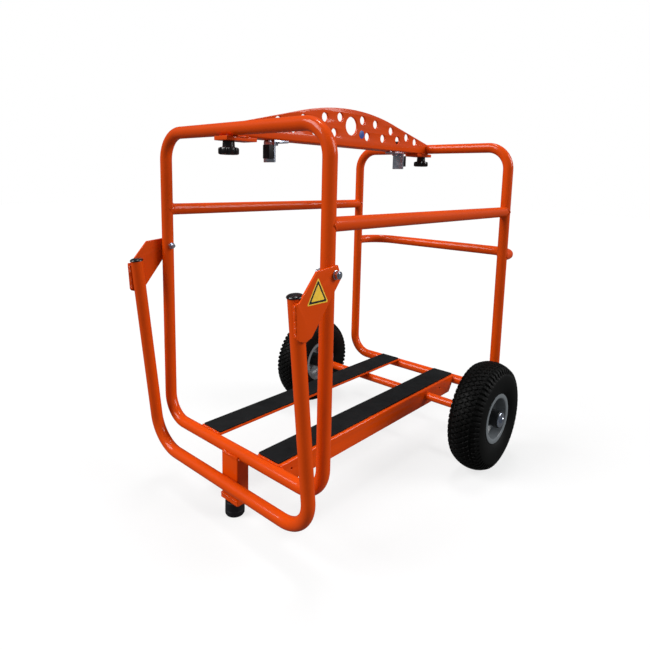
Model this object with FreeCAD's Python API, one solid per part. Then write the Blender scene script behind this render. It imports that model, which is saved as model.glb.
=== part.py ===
import FreeCAD, Part
import math
import os
from FreeCAD import Vector

# Wheeled stand for an engine or gearbox: two bent-tube hoops joined by bars, two padded bearers,
# a perforated beam across the top with two sliding hooks, two pneumatic wheels, one rubber foot
# and a swinging pull handle.
#
# Design frame, millimetres: x = 0 is the plane of the front hoop and +X runs to the wheels,
# y = 0 is the middle plane with the left side at -Y, z = 0 is the floor. The written parts are
# moved along X so that the origin is on the floor under the middle of the stand.

# ---- driving dimensions -----------------------------------------------------------------------
TUBE_R = 12.5                 # outer radius of every frame tube
TUBE_WALL = 2.0
LENGTH = 681.0                # front hoop plane to rear hoop plane
HALF_WIDTH = 237.5            # middle plane to the centre line of a hoop's post
HOOP_LOW = 135.0              # height of the centre line of a hoop's bottom run
HOOP_HIGH = 775.0             # height of the centre line of a hoop's top run
HOOP_BEND = 56.0
SIDE_BAR_Z = 613.0
REAR_HANDLE_X = 775.0         # centre line of the rear handle's cross run
REAR_HANDLE_Z = 499.0
REAR_HANDLE_BEND = 70.0

WHEEL_X = 532.0
WHEEL_Y = 285.0
WHEEL_R = 130.0
WHEEL_WIDTH = 80.0
AXLE_R = 10.0
HUB_HALF = 39.5               # half length of a wheel's hub tube
HUB_R = 20.0
HUB_BORE_R = 15.5
BEARING_R = 17.5
BEARING_WIDTH = 12.0
AXLE_WASHER = 2.5
AXLE_WASHER_R = 18.0
AXLE_SIDE_PLAY = 0.5
AXLE_END = WHEEL_Y + HUB_HALF + AXLE_SIDE_PLAY
AXLE_DRILLING = 20.0          # depth of the threaded hole in each end of the axle
COLLAR_R = 15.0
COLLAR_WIDTH = 8.0
SHEET = 2.0                   # thickness of the pressed rim halves
BEAD_R = 50.8
LIP_R = 60.0
LIP_Y = 33.5
DISC_R = 41.0                 # outer radius of a rim half's flat disc
RIM_BOLT_R = 3.0
RIM_BOLT_AF = 10.0
RIM_BOLT_HEAD = 4.0
RIM_BOLT_NUT = 5.0
RIM_BOLT_TAIL = 7.0
RIM_BOLT_CIRCLE = 31.0
TUBE_RING_R = 88.5
TUBE_SECTION_R = 31.0
TUBE_SKIN = 1.6
VALVE_R = 4.0
VALVE_BORE_R = 1.2
VALVE_END = 31.0              # distance of the valve's tip from the wheel's axis
VALVE_FOOT = 66.5             # distance of its inner end
VALVE_ANGLE = 205.0           # in the wheel's plane, from +X towards +Z
VALVE_Y = 12.0
RUNNING = 0.05                # radial clearance of a running fit
GAP = 0.3                     # clearance between faces of pieces that move past each other

PAD_Y0, PAD_Y1 = 61.6, 118.4
PAD_TOP = 153.0
PAD_THICK = 4.0
PAD_EDGE = 0.8
PAD_INSET = 7.0               # hoop plane to the end of a pad and of its bearer
BEARER_Y0, BEARER_Y1 = 60.0, 125.0
BEARER_THICK = 5.0
BEARER_BOTTOM = 106.0
BEARER_CHAMFER_X = 30.0
BEARER_CHAMFER_Z = 138.0
BEARER_BEND = 4.0
DRAIN_R = 2.5                 # radius of the small holes in each bearer's side
DRAIN_HOLES = ((36.0, 132.0), (597.0, 133.0))     # their x and z

LEG_X0, LEG_X1 = -17.0, 13.0
LEG_HALF_Y = 25.0
LEG_WALL = 2.5
LEG_TOP = 131.0
FOOT_X = -3.0                 # the foot's axis stands a little in front of the hoop plane
FOOT_R = 20.0
FOOT_EDGE = 3.0
FOOT_HEIGHT = 31.0
FOOT_PLATE_X0, FOOT_PLATE_X1 = -18.5, 20.0
FOOT_PLATE_HALF_Y = 27.0
FOOT_PLATE_THICK = 9.0
FOOT_BOLT_R = 5.0
FOOT_NUT_AF = 16.0
FOOT_NUT_HEIGHT = 8.0
FOOT_BOLT_END = 12.0          # length of the foot's bolt above its plate

BEAM_FRONT_Y, BEAM_BACK_Y = -2.0, 38.0
BEAM_THICK = 5.0
BEAM_BOTTOM = 761.5
BEAM_END_X = 7.0
BEAM_END_TOP = 787.5
BEAM_CREST = 846.5
BEAM_ARC_HALF = 180.0         # half length of the arched stretch of the beam's top edge
BEAM_SLOPE = 0.235            # rise of the straight stretches of the top edge
BIG_HOLE_R = 21.0
BIG_HOLE_Z = 809.0
SMALL_HOLE_R = 10.0
# distance of each pair of small holes from the beam's middle, and its height
SMALL_HOLES = ((41.0, 825.4), (92.5, 820.5), (159.0, 810.0), (231.0, 799.0), (272.0, 789.0),
               (61.0, 789.0), (124.5, 789.0), (189.0, 789.0))
BEAM_FOOT_X0, BEAM_FOOT_X1 = -20.0, 53.0
BEAM_FOOT_THICK = 8.0
STICKER_THICK = 0.3
ROUND_STICKER = (38.0, 792.5, 9.5)    # from the beam's middle, height, radius

KNOB_Y = 19.0
KNOB_R = 20.0
KNOB_DISC = 13.5
KNOB_HUB = 12.2               # height of a knob's hub above its disc
KNOB_SKIN = 8.0               # plastic left under a stud's end
KNOB_HUB_R = 11.5
KNOB_LOBES = 8
STUD_R = 4.0
INSERT_R = 5.5
INSERT_FLANGE_R = 6.8
INSERT_FLANGE = 1.0
INSERT_TOP = 776.0
STUD_TOP = 774.0

HOOK_WIDTH = 32.0
HOOK_Y0 = 0.0
HOOK_ARM = 40.0
HOOK_THICK = 4.5
HOOK_BOTTOM = 717.0
HOOK_BEND = 4.0
FRONT_HOOK_X = 99.0           # outer face of the front hook's upright
REAR_HOOK_X = 564.5           # outer face of the rear hook's upright
BLOCK_THICK = 13.0
BLOCK_Y0, BLOCK_Y1 = 1.0, 20.0
BLOCK_Z0, BLOCK_Z1 = 724.0, 751.5
CLAMP_Y = 17.0
CLAMP_OFFSET = 17.5           # outer face of the upright to the clamp screw
CLAMP_KNOB_R = 12.5
CLAMP_KNOB_TOP = 788.0
CLAMP_KNOB_HUB = 8.0          # height of a clamp knob's hub
CLAMP_SKIN = 4.0              # plastic left over a clamp screw's end
SLOT_NEAR = 86.5              # hoop plane to the nearer end of a slot's centre line
SLOT_TRAVEL = 110.0
SLOT_R = 4.5

PIVOT_Z = 533.5
BRACKET_Y = 250.8             # inner face of a handle bracket
BRACKET_THICK = 4.6
# x and z of a bracket's corners: down the leg, up to the pivot and back over the top
BRACKET_OUTLINE = ((-87.2, 499.5), (-84.0, 443.0), (-81.0, 439.5), (-66.8, 435.0), (-53.0, 440.5),
                   (14.5, 526.0), (5.5, 549.0), (-43.5, 544.0), (-72.0, 510.5), (-81.5, 499.5))
HANDLE_HALF = 238.5           # centre line of a handle leg; its outer side has a 0.2 mm flat
HANDLE_TOP = (-75.0, 505.5)   # x, z of a leg's top end
HANDLE_LOW = (-29.9, 78.0)    # x, z of the cross run
HANDLE_BEND = 70.0
CAP_R = 14.0
CAP_HEIGHT = 5.0
CAP_EDGE = 2.0
CAP_PLUG = 14.0
BOLT_R = 4.0
PIVOT_WASHER_R = 8.0
PIVOT_WASHER = 1.6
BOLT_AF = 13.0                # across flats of an M8 head or nut
BOLT_HEAD = 5.3
BOLT_NUT = 6.8
PIVOT_END = 10.0              # how far a pivot bolt stands out from its bracket
PIVOT_TAIL = 12.0             # how far a pivot bolt's thread stands in from its post
TRIANGLE = (-41.5, 492.3, 48.5)       # middle in x, height of its base, length of its side


# ---- plain shapes -----------------------------------------------------------------------------
def block(x0, x1, y0, y1, z0, z1):
    return Part.makeBox(x1 - x0, y1 - y0, z1 - z0, Vector(x0, y0, z0))


def rod(radius, start, end):
    run = end - start
    return Part.makeCylinder(radius, run.Length, start, run)


def rod_x(radius, x0, x1, y, z):
    return rod(radius, Vector(x0, y, z), Vector(x1, y, z))


def rod_y(radius, y0, y1, x, z):
    return rod(radius, Vector(x, y0, z), Vector(x, y1, z))


def rod_z(radius, z0, z1, x, y):
    return rod(radius, Vector(x, y, z0), Vector(x, y, z1))


def hexagon(across_flats, start, end):
    """A six-sided head or nut between two points on its axis."""
    run = end - start
    axis = Vector(run).normalize()
    side = axis.cross(Vector(1, 0, 0))
    if side.Length < 0.5:
        side = axis.cross(Vector(0, 0, 1))
    side.normalize()
    other = axis.cross(side)
    reach = across_flats / math.sqrt(3.0)
    corners = []
    for step in range(7):
        angle = math.radians(60.0 * step)
        corners.append(start + side * (reach * math.cos(angle)) + other * (reach * math.sin(angle)))
    return Part.Face(Part.makePolygon(corners)).extrude(run)


def joined(shapes):
    """One solid from several touching ones."""
    return shapes[0].multiFuse(shapes[1:]).removeSplitter()


def group(shapes):
    """Separate solids kept in one part."""
    solids = []
    for shape in shapes:
        solids.extend(shape.Solids)
    return Part.makeCompound(solids)


def mirrored(shape):
    """The same piece on the other side of the middle plane."""
    return shape.mirror(Vector(0, 0, 0), Vector(0, 1, 0))


def flipped(shape):
    """The same piece at the other end of the stand."""
    return shape.mirror(Vector(LENGTH / 2.0, 0, 0), Vector(1, 0, 0))


def plate_xz(corners, y0, y1):
    """A flat plate: its outline in X and Z, its thickness along Y."""
    points = [Vector(x, y0, z) for x, z in corners]
    return Part.Face(Part.makePolygon(points + points[:1])).extrude(Vector(0, y1 - y0, 0))


def spun(edges):
    """A ring made by turning an outline in the X-Y plane about the Y axis."""
    return Part.Face(Part.Wire(edges)).revolve(Vector(0, 0, 0), Vector(0, 1, 0), 360.0)


def outline(points):
    """Straight edges round a closed list of (radius, y) points."""
    vectors = [Vector(radius, y, 0) for radius, y in points]
    return Part.makePolygon(vectors + vectors[:1]).Edges


# ---- tube work --------------------------------------------------------------------------------
def ring_face(centre, direction):
    outer = Part.Face(Part.Wire(Part.makeCircle(TUBE_R, centre, direction)))
    inner = Part.Face(Part.Wire(Part.makeCircle(TUBE_R - TUBE_WALL, centre, direction)))
    return outer.cut(inner).Faces[0]


def bent_tube(corners, bend, closed=False):
    """A round tube along straight runs whose corners are bent to one radius."""
    count = len(corners)
    pieces = []
    starts = {}
    ends = {}
    bent = range(count) if closed else range(1, count - 1)
    for i in bent:
        before = (corners[i] - corners[i - 1]).normalize()
        after = (corners[(i + 1) % count] - corners[i]).normalize()
        turn = before.getAngle(after)
        setback = bend * math.tan(turn / 2.0)
        starts[i] = corners[i] - before * setback
        ends[i] = corners[i] + after * setback
        axis = before.cross(after).normalize()
        centre = starts[i] + axis.cross(before) * bend
        pieces.append(ring_face(starts[i], before).revolve(centre, axis, math.degrees(turn)))
    runs = range(count) if closed else range(count - 1)
    for i in runs:
        after = (i + 1) % count
        first = ends.get(i, corners[i])
        last = starts.get(after, corners[after])
        pieces.append(ring_face(first, last - first).extrude(last - first))
    return joined(pieces)


def post(x, y):
    return rod_z(TUBE_R, HOOP_LOW, HOOP_HIGH, x, y)


def hoop():
    """The front hoop: one closed rounded rectangle of tube, drilled for its fastenings."""
    corners = [Vector(0, -HALF_WIDTH, HOOP_LOW), Vector(0, HALF_WIDTH, HOOP_LOW),
               Vector(0, HALF_WIDTH, HOOP_HIGH), Vector(0, -HALF_WIDTH, HOOP_HIGH)]
    tube = bent_tube(corners, HOOP_BEND, closed=True)
    insert_hole = rod_z(INSERT_R, HOOP_HIGH - TUBE_R - 1.0, HOOP_HIGH, 0.0, KNOB_Y)
    return tube.cut(insert_hole)


def front_hoop():
    shape = hoop()
    for side in (-1, 1):
        inner = side * (HALF_WIDTH - TUBE_R - 1.0)
        outer = side * (HALF_WIDTH + TUBE_R + 1.0)
        shape = shape.cut(rod_y(BOLT_R, inner, outer, 0.0, PIVOT_Z))
    return shape


def side_bar():
    """The left bar between the hoops, with its ends shaped to the posts."""
    tube = bent_tube([Vector(0, -HALF_WIDTH, SIDE_BAR_Z), Vector(LENGTH, -HALF_WIDTH, SIDE_BAR_Z)], 0.0)
    return tube.cut(post(0.0, -HALF_WIDTH)).cut(post(LENGTH, -HALF_WIDTH))


def rear_handle():
    corners = [Vector(LENGTH, -HALF_WIDTH, REAR_HANDLE_Z), Vector(REAR_HANDLE_X, -HALF_WIDTH, REAR_HANDLE_Z),
               Vector(REAR_HANDLE_X, HALF_WIDTH, REAR_HANDLE_Z), Vector(LENGTH, HALF_WIDTH, REAR_HANDLE_Z)]
    tube = bent_tube(corners, REAR_HANDLE_BEND)
    return tube.cut(post(LENGTH, -HALF_WIDTH)).cut(post(LENGTH, HALF_WIDTH))


# ---- bearers, foot and axle -------------------------------------------------------------------
def bearer():
    """The left bearer: an angle with its side plate outward and its lower corners cut off."""
    top = PAD_TOP - PAD_THICK
    x0, x1 = PAD_INSET, LENGTH - PAD_INSET
    flange = block(x0, x1, -BEARER_Y1, -BEARER_Y0, top - BEARER_THICK, top)
    side = plate_xz([(x0, top), (x0, BEARER_CHAMFER_Z), (BEARER_CHAMFER_X, BEARER_BOTTOM),
                     (LENGTH - BEARER_CHAMFER_X, BEARER_BOTTOM), (x1, BEARER_CHAMFER_Z), (x1, top)],
                    -BEARER_Y1, -BEARER_Y1 + BEARER_THICK)
    shape = joined([flange, side])
    shape = rounded_edges(shape, BEARER_BEND, y=-BEARER_Y1, z=top)
    drains = [rod_y(DRAIN_R, -BEARER_Y1, -BEARER_Y0, x, z) for x, z in DRAIN_HOLES]
    for tool in [hoop_run(0.0), hoop_run(LENGTH), axle_bar()] + drains:
        shape = shape.cut(tool)
    return shape


def rounded_edges(shape, radius, **place):
    """Round the straight edges whose middle lies at the given coordinates."""
    chosen = []
    for edge in shape.Edges:
        middle = edge.CenterOfMass
        if all(abs(getattr(middle, axis) - value) < 0.01 for axis, value in place.items()):
            chosen.append(edge)
    return shape.makeFillet(radius, chosen)


def hoop_run(x):
    return rod_y(TUBE_R, -HALF_WIDTH, HALF_WIDTH, x, HOOP_LOW)


def bearer_pad():
    pad = block(PAD_INSET, LENGTH - PAD_INSET, -PAD_Y1, -PAD_Y0, PAD_TOP - PAD_THICK, PAD_TOP)
    return rounded_edges(pad, PAD_EDGE, z=PAD_TOP)


def leg_tube():
    outer = block(LEG_X0, LEG_X1, -LEG_HALF_Y, LEG_HALF_Y, FOOT_HEIGHT + FOOT_PLATE_THICK, LEG_TOP)
    corners = [edge for edge in outer.Edges if abs(edge.tangentAt(edge.FirstParameter).z) > 0.9]
    outer = outer.makeFillet(LEG_WALL, corners)
    inner = block(LEG_X0 + LEG_WALL, LEG_X1 - LEG_WALL, LEG_WALL - LEG_HALF_Y, LEG_HALF_Y - LEG_WALL,
                  0.0, LEG_TOP)
    return outer.cut(inner).cut(hoop_run(0.0))


def foot_plate():
    plate = block(FOOT_PLATE_X0, FOOT_PLATE_X1, -FOOT_PLATE_HALF_Y, FOOT_PLATE_HALF_Y,
                  FOOT_HEIGHT, FOOT_HEIGHT + FOOT_PLATE_THICK)
    return plate.cut(rod_z(FOOT_BOLT_R, 0.0, LEG_TOP, FOOT_X, 0.0))


def rubber_foot():
    foot = rod_z(FOOT_R, 0.0, FOOT_HEIGHT, FOOT_X, 0.0)
    foot = rounded_edges(foot, FOOT_EDGE, z=0.0)
    return foot.cut(rod_z(FOOT_BOLT_R, FOOT_HEIGHT / 2.0, FOOT_HEIGHT, FOOT_X, 0.0))


def foot_bolt():
    top = FOOT_HEIGHT + FOOT_PLATE_THICK
    shank = rod_z(FOOT_BOLT_R, FOOT_HEIGHT / 2.0, top + FOOT_BOLT_END, FOOT_X, 0.0)
    nut = hexagon(FOOT_NUT_AF, Vector(FOOT_X, 0, top), Vector(FOOT_X, 0, top + FOOT_NUT_HEIGHT))
    return joined([shank, nut])


def axle_bar():
    return rod_y(AXLE_R, -AXLE_END, AXLE_END, WHEEL_X, WHEEL_R)


def axle():
    """The through axle, drilled at each end for the wheel bolt."""
    shape = axle_bar()
    for side in (-1, 1):
        inner, outer = side * (AXLE_END - AXLE_DRILLING), side * (AXLE_END + 1.0)
        shape = shape.cut(rod_y(BOLT_R, inner, outer, WHEEL_X, WHEEL_R))
    return shape


def both_sides(piece):
    return group([piece, mirrored(piece)])


def axle_collar():
    start = AXLE_END - 2.0 * (HUB_HALF + AXLE_SIDE_PLAY) - COLLAR_WIDTH
    ring = rod_y(COLLAR_R, start, start + COLLAR_WIDTH, WHEEL_X, WHEEL_R)
    return ring.cut(axle_bar())


def axle_washer():
    disc = rod_y(AXLE_WASHER_R, AXLE_END, AXLE_END + AXLE_WASHER, WHEEL_X, WHEEL_R)
    return disc.cut(rod_y(BOLT_R, 0.0, AXLE_END + 10.0, WHEEL_X, WHEEL_R))


def axle_bolt():
    start = AXLE_END + AXLE_WASHER
    shank = rod_y(BOLT_R, AXLE_END - AXLE_DRILLING + 2.0, start, WHEEL_X, WHEEL_R)
    head = hexagon(BOLT_AF, Vector(WHEEL_X, start, WHEEL_R), Vector(WHEEL_X, start + BOLT_HEAD, WHEEL_R))
    return joined([shank, head])


# ---- top beam, its feet and knobs -------------------------------------------------------------
def beam_top_edge():
    """Edges along the beam's top: a straight rise, an arch and a straight fall."""
    middle = LENGTH / 2.0
    rise = BEAM_SLOPE * (middle - BEAM_ARC_HALF - BEAM_END_X)
    near = Vector(BEAM_END_X, BEAM_FRONT_Y, BEAM_END_TOP)
    first = Vector(middle - BEAM_ARC_HALF, BEAM_FRONT_Y, BEAM_END_TOP + rise)
    crest = Vector(middle, BEAM_FRONT_Y, BEAM_CREST)
    last = Vector(middle + BEAM_ARC_HALF, BEAM_FRONT_Y, BEAM_END_TOP + rise)
    far = Vector(LENGTH - BEAM_END_X, BEAM_FRONT_Y, BEAM_END_TOP)
    return [Part.makeLine(near, first), Part.Arc(first, crest, last).toShape(), Part.makeLine(last, far)]


def beam_pieces():
    """The beam's arched, perforated web and the slotted flange along its lower edge."""
    low_near = Vector(BEAM_END_X, BEAM_FRONT_Y, BEAM_BOTTOM)
    low_far = Vector(LENGTH - BEAM_END_X, BEAM_FRONT_Y, BEAM_BOTTOM)
    top = beam_top_edge()
    high_near = top[0].Vertexes[0].Point
    high_far = top[-1].Vertexes[-1].Point
    edges = [Part.makeLine(low_near, high_near)] + top
    edges += [Part.makeLine(high_far, low_far), Part.makeLine(low_far, low_near)]
    web = Part.Face(Part.Wire(edges)).extrude(Vector(0, BEAM_THICK, 0))
    web = rounded_edges(web, BEAM_THICK - 1.0, y=BEAM_FRONT_Y, z=BEAM_BOTTOM)
    flange = block(BEAM_END_X, LENGTH - BEAM_END_X, BEAM_FRONT_Y + BEAM_THICK, BEAM_BACK_Y,
                   BEAM_BOTTOM, BEAM_BOTTOM + BEAM_THICK)
    middle = LENGTH / 2.0
    holes = [web_hole(BIG_HOLE_R, middle, BIG_HOLE_Z)]
    for reach, height in SMALL_HOLES:
        holes += [web_hole(SMALL_HOLE_R, x, height) for x in (middle - reach, middle + reach)]
    slot = clamp_slot()
    ends = [rod_y(TUBE_R + GAP, -HALF_WIDTH, HALF_WIDTH, x, HOOP_HIGH) for x in (0.0, LENGTH)]
    for tool in holes + ends:
        web = web.cut(tool)
    for tool in [slot, flipped(slot)] + ends:
        flange = flange.cut(tool)
    return web, flange


def web_hole(radius, x, z):
    return rod_y(radius, BEAM_FRONT_Y - 1.0, BEAM_FRONT_Y + BEAM_THICK + 1.0, x, z)


def clamp_slot():
    z0, z1 = BEAM_BOTTOM - 1.0, BEAM_BOTTOM + BEAM_THICK + 1.0
    far = SLOT_NEAR + SLOT_TRAVEL
    straight = block(SLOT_NEAR, far, CLAMP_Y - SLOT_R, CLAMP_Y + SLOT_R, z0, z1)
    return joined([straight, rod_z(SLOT_R, z0, z1, SLOT_NEAR, CLAMP_Y), rod_z(SLOT_R, z0, z1, far, CLAMP_Y)])


def beam_foot():
    """The plate under the front end of the beam, held up against the hoop by a knob."""
    plate = block(BEAM_FOOT_X0, BEAM_FOOT_X1, BEAM_FRONT_Y, BEAM_BACK_Y,
                  BEAM_BOTTOM - BEAM_FOOT_THICK, BEAM_BOTTOM)
    return plate.cut(rod_z(STUD_R + 0.5, BEAM_BOTTOM - 20.0, BEAM_BOTTOM + 1.0, 0.0, KNOB_Y))


def knob_insert():
    """The threaded insert in the front hoop's top run."""
    flange = rod_z(INSERT_FLANGE_R, BEAM_BOTTOM, BEAM_BOTTOM + INSERT_FLANGE, 0.0, KNOB_Y)
    barrel = rod_z(INSERT_R, BEAM_BOTTOM, INSERT_TOP, 0.0, KNOB_Y)
    bore = rod_z(STUD_R + RUNNING, BEAM_BOTTOM - 1.0, INSERT_TOP + 1.0, 0.0, KNOB_Y)
    return joined([flange, barrel]).cut(bore)


def lobed_disc(radius, z0, z1, x, y):
    """A round grip with finger hollows round its rim."""
    disc = rod_z(radius, z0, z1, x, y)
    hollow_r = 0.2 * radius
    for lobe in range(KNOB_LOBES):
        angle = 2.0 * math.pi * lobe / KNOB_LOBES
        reach = radius + 0.4 * hollow_r
        hollow_x, hollow_y = x + reach * math.cos(angle), y + reach * math.sin(angle)
        disc = disc.cut(rod_z(hollow_r, z0 - 1.0, z1 + 1.0, hollow_x, hollow_y))
    return disc


def knob_grip():
    top = BEAM_BOTTOM - BEAM_FOOT_THICK - GAP
    base = top - KNOB_HUB - KNOB_DISC
    disc = lobed_disc(KNOB_R, base, base + KNOB_DISC, 0.0, KNOB_Y)
    hub = rod_z(KNOB_HUB_R, base + KNOB_DISC, top, 0.0, KNOB_Y)
    return joined([disc, hub]).cut(rod_z(STUD_R, base + KNOB_SKIN, top + 1.0, 0.0, KNOB_Y))


def knob_stud():
    base = BEAM_BOTTOM - BEAM_FOOT_THICK - GAP - KNOB_HUB - KNOB_DISC
    return rod_z(STUD_R, base + KNOB_SKIN, STUD_TOP, 0.0, KNOB_Y)


def round_sticker():
    reach, height, radius = ROUND_STICKER
    return rod_y(radius, BEAM_FRONT_Y - STICKER_THICK, BEAM_FRONT_Y, LENGTH / 2.0 + reach, height)


# ---- sliding hooks ----------------------------------------------------------------------------
def hook_bracket(outer_x, inward):
    """A bent plate: an arm under the beam and an upright that carries the rubber block."""
    top = BEAM_BOTTOM - GAP
    y0, y1 = HOOK_Y0, HOOK_Y0 + HOOK_WIDTH
    upright = block(*sorted((outer_x, outer_x + inward * HOOK_THICK)), y0, y1, HOOK_BOTTOM, top)
    arm = block(*sorted((outer_x, outer_x + inward * HOOK_ARM)), y0, y1, top - HOOK_THICK, top)
    shape = rounded_edges(joined([upright, arm]), HOOK_BEND, x=outer_x, z=top)
    screw_x = outer_x + inward * CLAMP_OFFSET
    return shape.cut(rod_z(STUD_R, HOOK_BOTTOM, top + 1.0, screw_x, CLAMP_Y))


def hook_block(outer_x, inward):
    x0, x1 = sorted((outer_x, outer_x - inward * BLOCK_THICK))
    return block(x0, x1, BLOCK_Y0, BLOCK_Y1, BLOCK_Z0, BLOCK_Z1)


def clamp_screw(outer_x, inward):
    screw_x = outer_x + inward * CLAMP_OFFSET
    under_arm = BEAM_BOTTOM - GAP - HOOK_THICK
    start = Vector(screw_x, CLAMP_Y, under_arm - BOLT_HEAD)
    head = hexagon(BOLT_AF, start, Vector(screw_x, CLAMP_Y, under_arm))
    return joined([rod_z(STUD_R, under_arm, CLAMP_KNOB_TOP - CLAMP_SKIN - 1.0, screw_x, CLAMP_Y), head])


def clamp_knob(outer_x, inward):
    screw_x = outer_x + inward * CLAMP_OFFSET
    base = BEAM_BOTTOM + BEAM_THICK + GAP
    hub = rod_z(0.7 * CLAMP_KNOB_R, base, base + CLAMP_KNOB_HUB, screw_x, CLAMP_Y)
    grip = lobed_disc(CLAMP_KNOB_R, base + CLAMP_KNOB_HUB, CLAMP_KNOB_TOP, screw_x, CLAMP_Y)
    bore = rod_z(STUD_R + RUNNING, base - 1.0, CLAMP_KNOB_TOP - CLAMP_SKIN, screw_x, CLAMP_Y)
    return joined([hub, grip]).cut(bore)


# ---- pull handle ------------------------------------------------------------------------------
def leg_direction():
    """Unit vector down a handle leg."""
    return Vector(HANDLE_LOW[0] - HANDLE_TOP[0], 0, HANDLE_LOW[1] - HANDLE_TOP[1]).normalize()


def pull_handle_tube():
    corners = []
    for side, place in ((-1, HANDLE_TOP), (-1, HANDLE_LOW), (1, HANDLE_LOW), (1, HANDLE_TOP)):
        corners.append(Vector(place[0], side * HANDLE_HALF, place[1]))
    tube = bent_tube(corners, HANDLE_BEND)
    for side in (-1, 1):
        y0, y1 = sorted((side * BRACKET_Y, side * (BRACKET_Y + 10.0)))
        tube = tube.cut(block(-200.0, 100.0, y0, y1, 0.0, HOOP_HIGH))
    return tube


def handle_bracket():
    """The left plate from a handle leg up to the pivot in the post."""
    y0 = -BRACKET_Y - BRACKET_THICK
    plate = plate_xz(BRACKET_OUTLINE, y0, -BRACKET_Y)
    return plate.cut(rod_y(BOLT_R + RUNNING, y0 - 1.0, 1.0 - BRACKET_Y, 0.0, PIVOT_Z))


def handle_cap():
    """A plastic plug in the open top of the left leg."""
    down = leg_direction()
    top = Vector(HANDLE_TOP[0], -HANDLE_HALF, HANDLE_TOP[1])
    cap = rod(CAP_R, top - down * CAP_HEIGHT, top)
    plug = rod(TUBE_R - TUBE_WALL, top, top + down * CAP_PLUG)
    crown = [edge for edge in cap.Edges
             if (edge.CenterOfMass - top).Length > 0.5 * CAP_HEIGHT and len(edge.Vertexes) == 1]
    cap = cap.makeFillet(CAP_EDGE, crown)
    return joined([cap, plug]).cut(handle_bracket())


def triangle_sticker():
    """A plain triangle of vinyl on the left bracket."""
    middle_x, low_z, side = TRIANGLE
    height = side * math.sqrt(3.0) / 2.0
    corners = [(middle_x - side / 2.0, low_z), (middle_x + side / 2.0, low_z), (middle_x, low_z + height)]
    return plate_xz(corners, -BRACKET_Y - BRACKET_THICK - STICKER_THICK, -BRACKET_Y - BRACKET_THICK)


def pivot_bolt():
    head_y = HALF_WIDTH - TUBE_R
    shank = rod_y(BOLT_R, PIVOT_TAIL - head_y, -BRACKET_Y - BRACKET_THICK - PIVOT_END, 0.0, PIVOT_Z)
    head = hexagon(BOLT_AF, Vector(0, BOLT_HEAD - head_y, PIVOT_Z), Vector(0, -head_y, PIVOT_Z))
    return joined([shank, head])


def pivot_washers():
    """Two washers on the left bolt, one each side of the bracket."""
    hole = rod_y(BOLT_R, -HALF_WIDTH, -BRACKET_Y - 20.0, 0.0, PIVOT_Z)
    outer_face = BRACKET_Y + BRACKET_THICK + GAP
    inner = rod_y(PIVOT_WASHER_R, -HALF_WIDTH - TUBE_R, GAP - BRACKET_Y, 0.0, PIVOT_Z)
    outer = rod_y(PIVOT_WASHER_R, -outer_face, -outer_face - PIVOT_WASHER, 0.0, PIVOT_Z)
    return [inner.cut(hole), outer.cut(hole)]


def pivot_nut():
    start = BRACKET_Y + BRACKET_THICK + GAP + PIVOT_WASHER
    nut = hexagon(BOLT_AF, Vector(0, -start, PIVOT_Z), Vector(0, -start - BOLT_NUT, PIVOT_Z))
    return nut.cut(rod_y(BOLT_R, -HALF_WIDTH, -BRACKET_Y - 20.0, 0.0, PIVOT_Z))


# ---- wheel, built about the origin with its outer side towards +Y ------------------------------
def arc(*points):
    start, middle, end = (Vector(radius, y, 0) for radius, y in points)
    return Part.Arc(start, middle, end).toShape()


def line(start, end):
    return Part.makeLine(Vector(start[0], start[1], 0), Vector(end[0], end[1], 0))


def tyre():
    """The cover: crown, shoulders, bulging sides and beads, open towards the rim."""
    half = WHEEL_WIDTH / 2.0
    seat = BEAD_R + GAP
    heel_y = LIP_Y - SHEET - GAP
    bead_out, heel, toe_out = (LIP_R + 1.0, heel_y), (seat + 2.3, heel_y), (seat, heel_y - 2.4)
    bead_in, inner_foot = (seat, 22.0), (57.0, 22.0)
    side_out, shoulder_out = (92.0, half), (119.0, 33.5)
    side_in, shoulder_in = (92.0, half - 5.5), (113.0, 28.0)
    crown_in = (122.5, 0.0)

    def low(point):
        return point[0], -point[1]

    edges = [arc(bead_out, side_out, shoulder_out), arc(shoulder_out, (WHEEL_R, 0.0), low(shoulder_out)),
             arc(low(shoulder_out), low(side_out), low(bead_out)), line(low(bead_out), low(heel)),
             line(low(heel), low(toe_out)), line(low(toe_out), low(bead_in)),
             line(low(bead_in), low(inner_foot)), arc(low(inner_foot), low(side_in), low(shoulder_in)),
             arc(low(shoulder_in), crown_in, shoulder_in),
             arc(shoulder_in, side_in, inner_foot), line(inner_foot, bead_in), line(bead_in, toe_out),
             line(toe_out, heel), line(heel, bead_out)]
    return spun(edges)


def air_tube():
    """The inflated inner tube, with the hole where its valve stem is bonded in."""
    middle, up = Vector(0, 0, 0), Vector(0, 1, 0)
    skin = Part.makeTorus(TUBE_RING_R, TUBE_SECTION_R, middle, up)
    air = Part.makeTorus(TUBE_RING_R, TUBE_SECTION_R - TUBE_SKIN, middle, up)
    return skin.cut(air).cut(valve_bar(VALVE_R, VALVE_END, TUBE_RING_R))


def valve_bar(radius, low, high):
    angle = math.radians(VALVE_ANGLE)
    out = Vector(math.cos(angle), 0, math.sin(angle))
    lift = Vector(0, VALVE_Y, 0)
    return rod(radius, out * low + lift, out * high + lift)


def valve_stem():
    stem = valve_bar(VALVE_R, VALVE_END, VALVE_FOOT)
    return stem.cut(valve_bar(VALVE_BORE_R, VALVE_END - 1.0, TUBE_RING_R))


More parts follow.
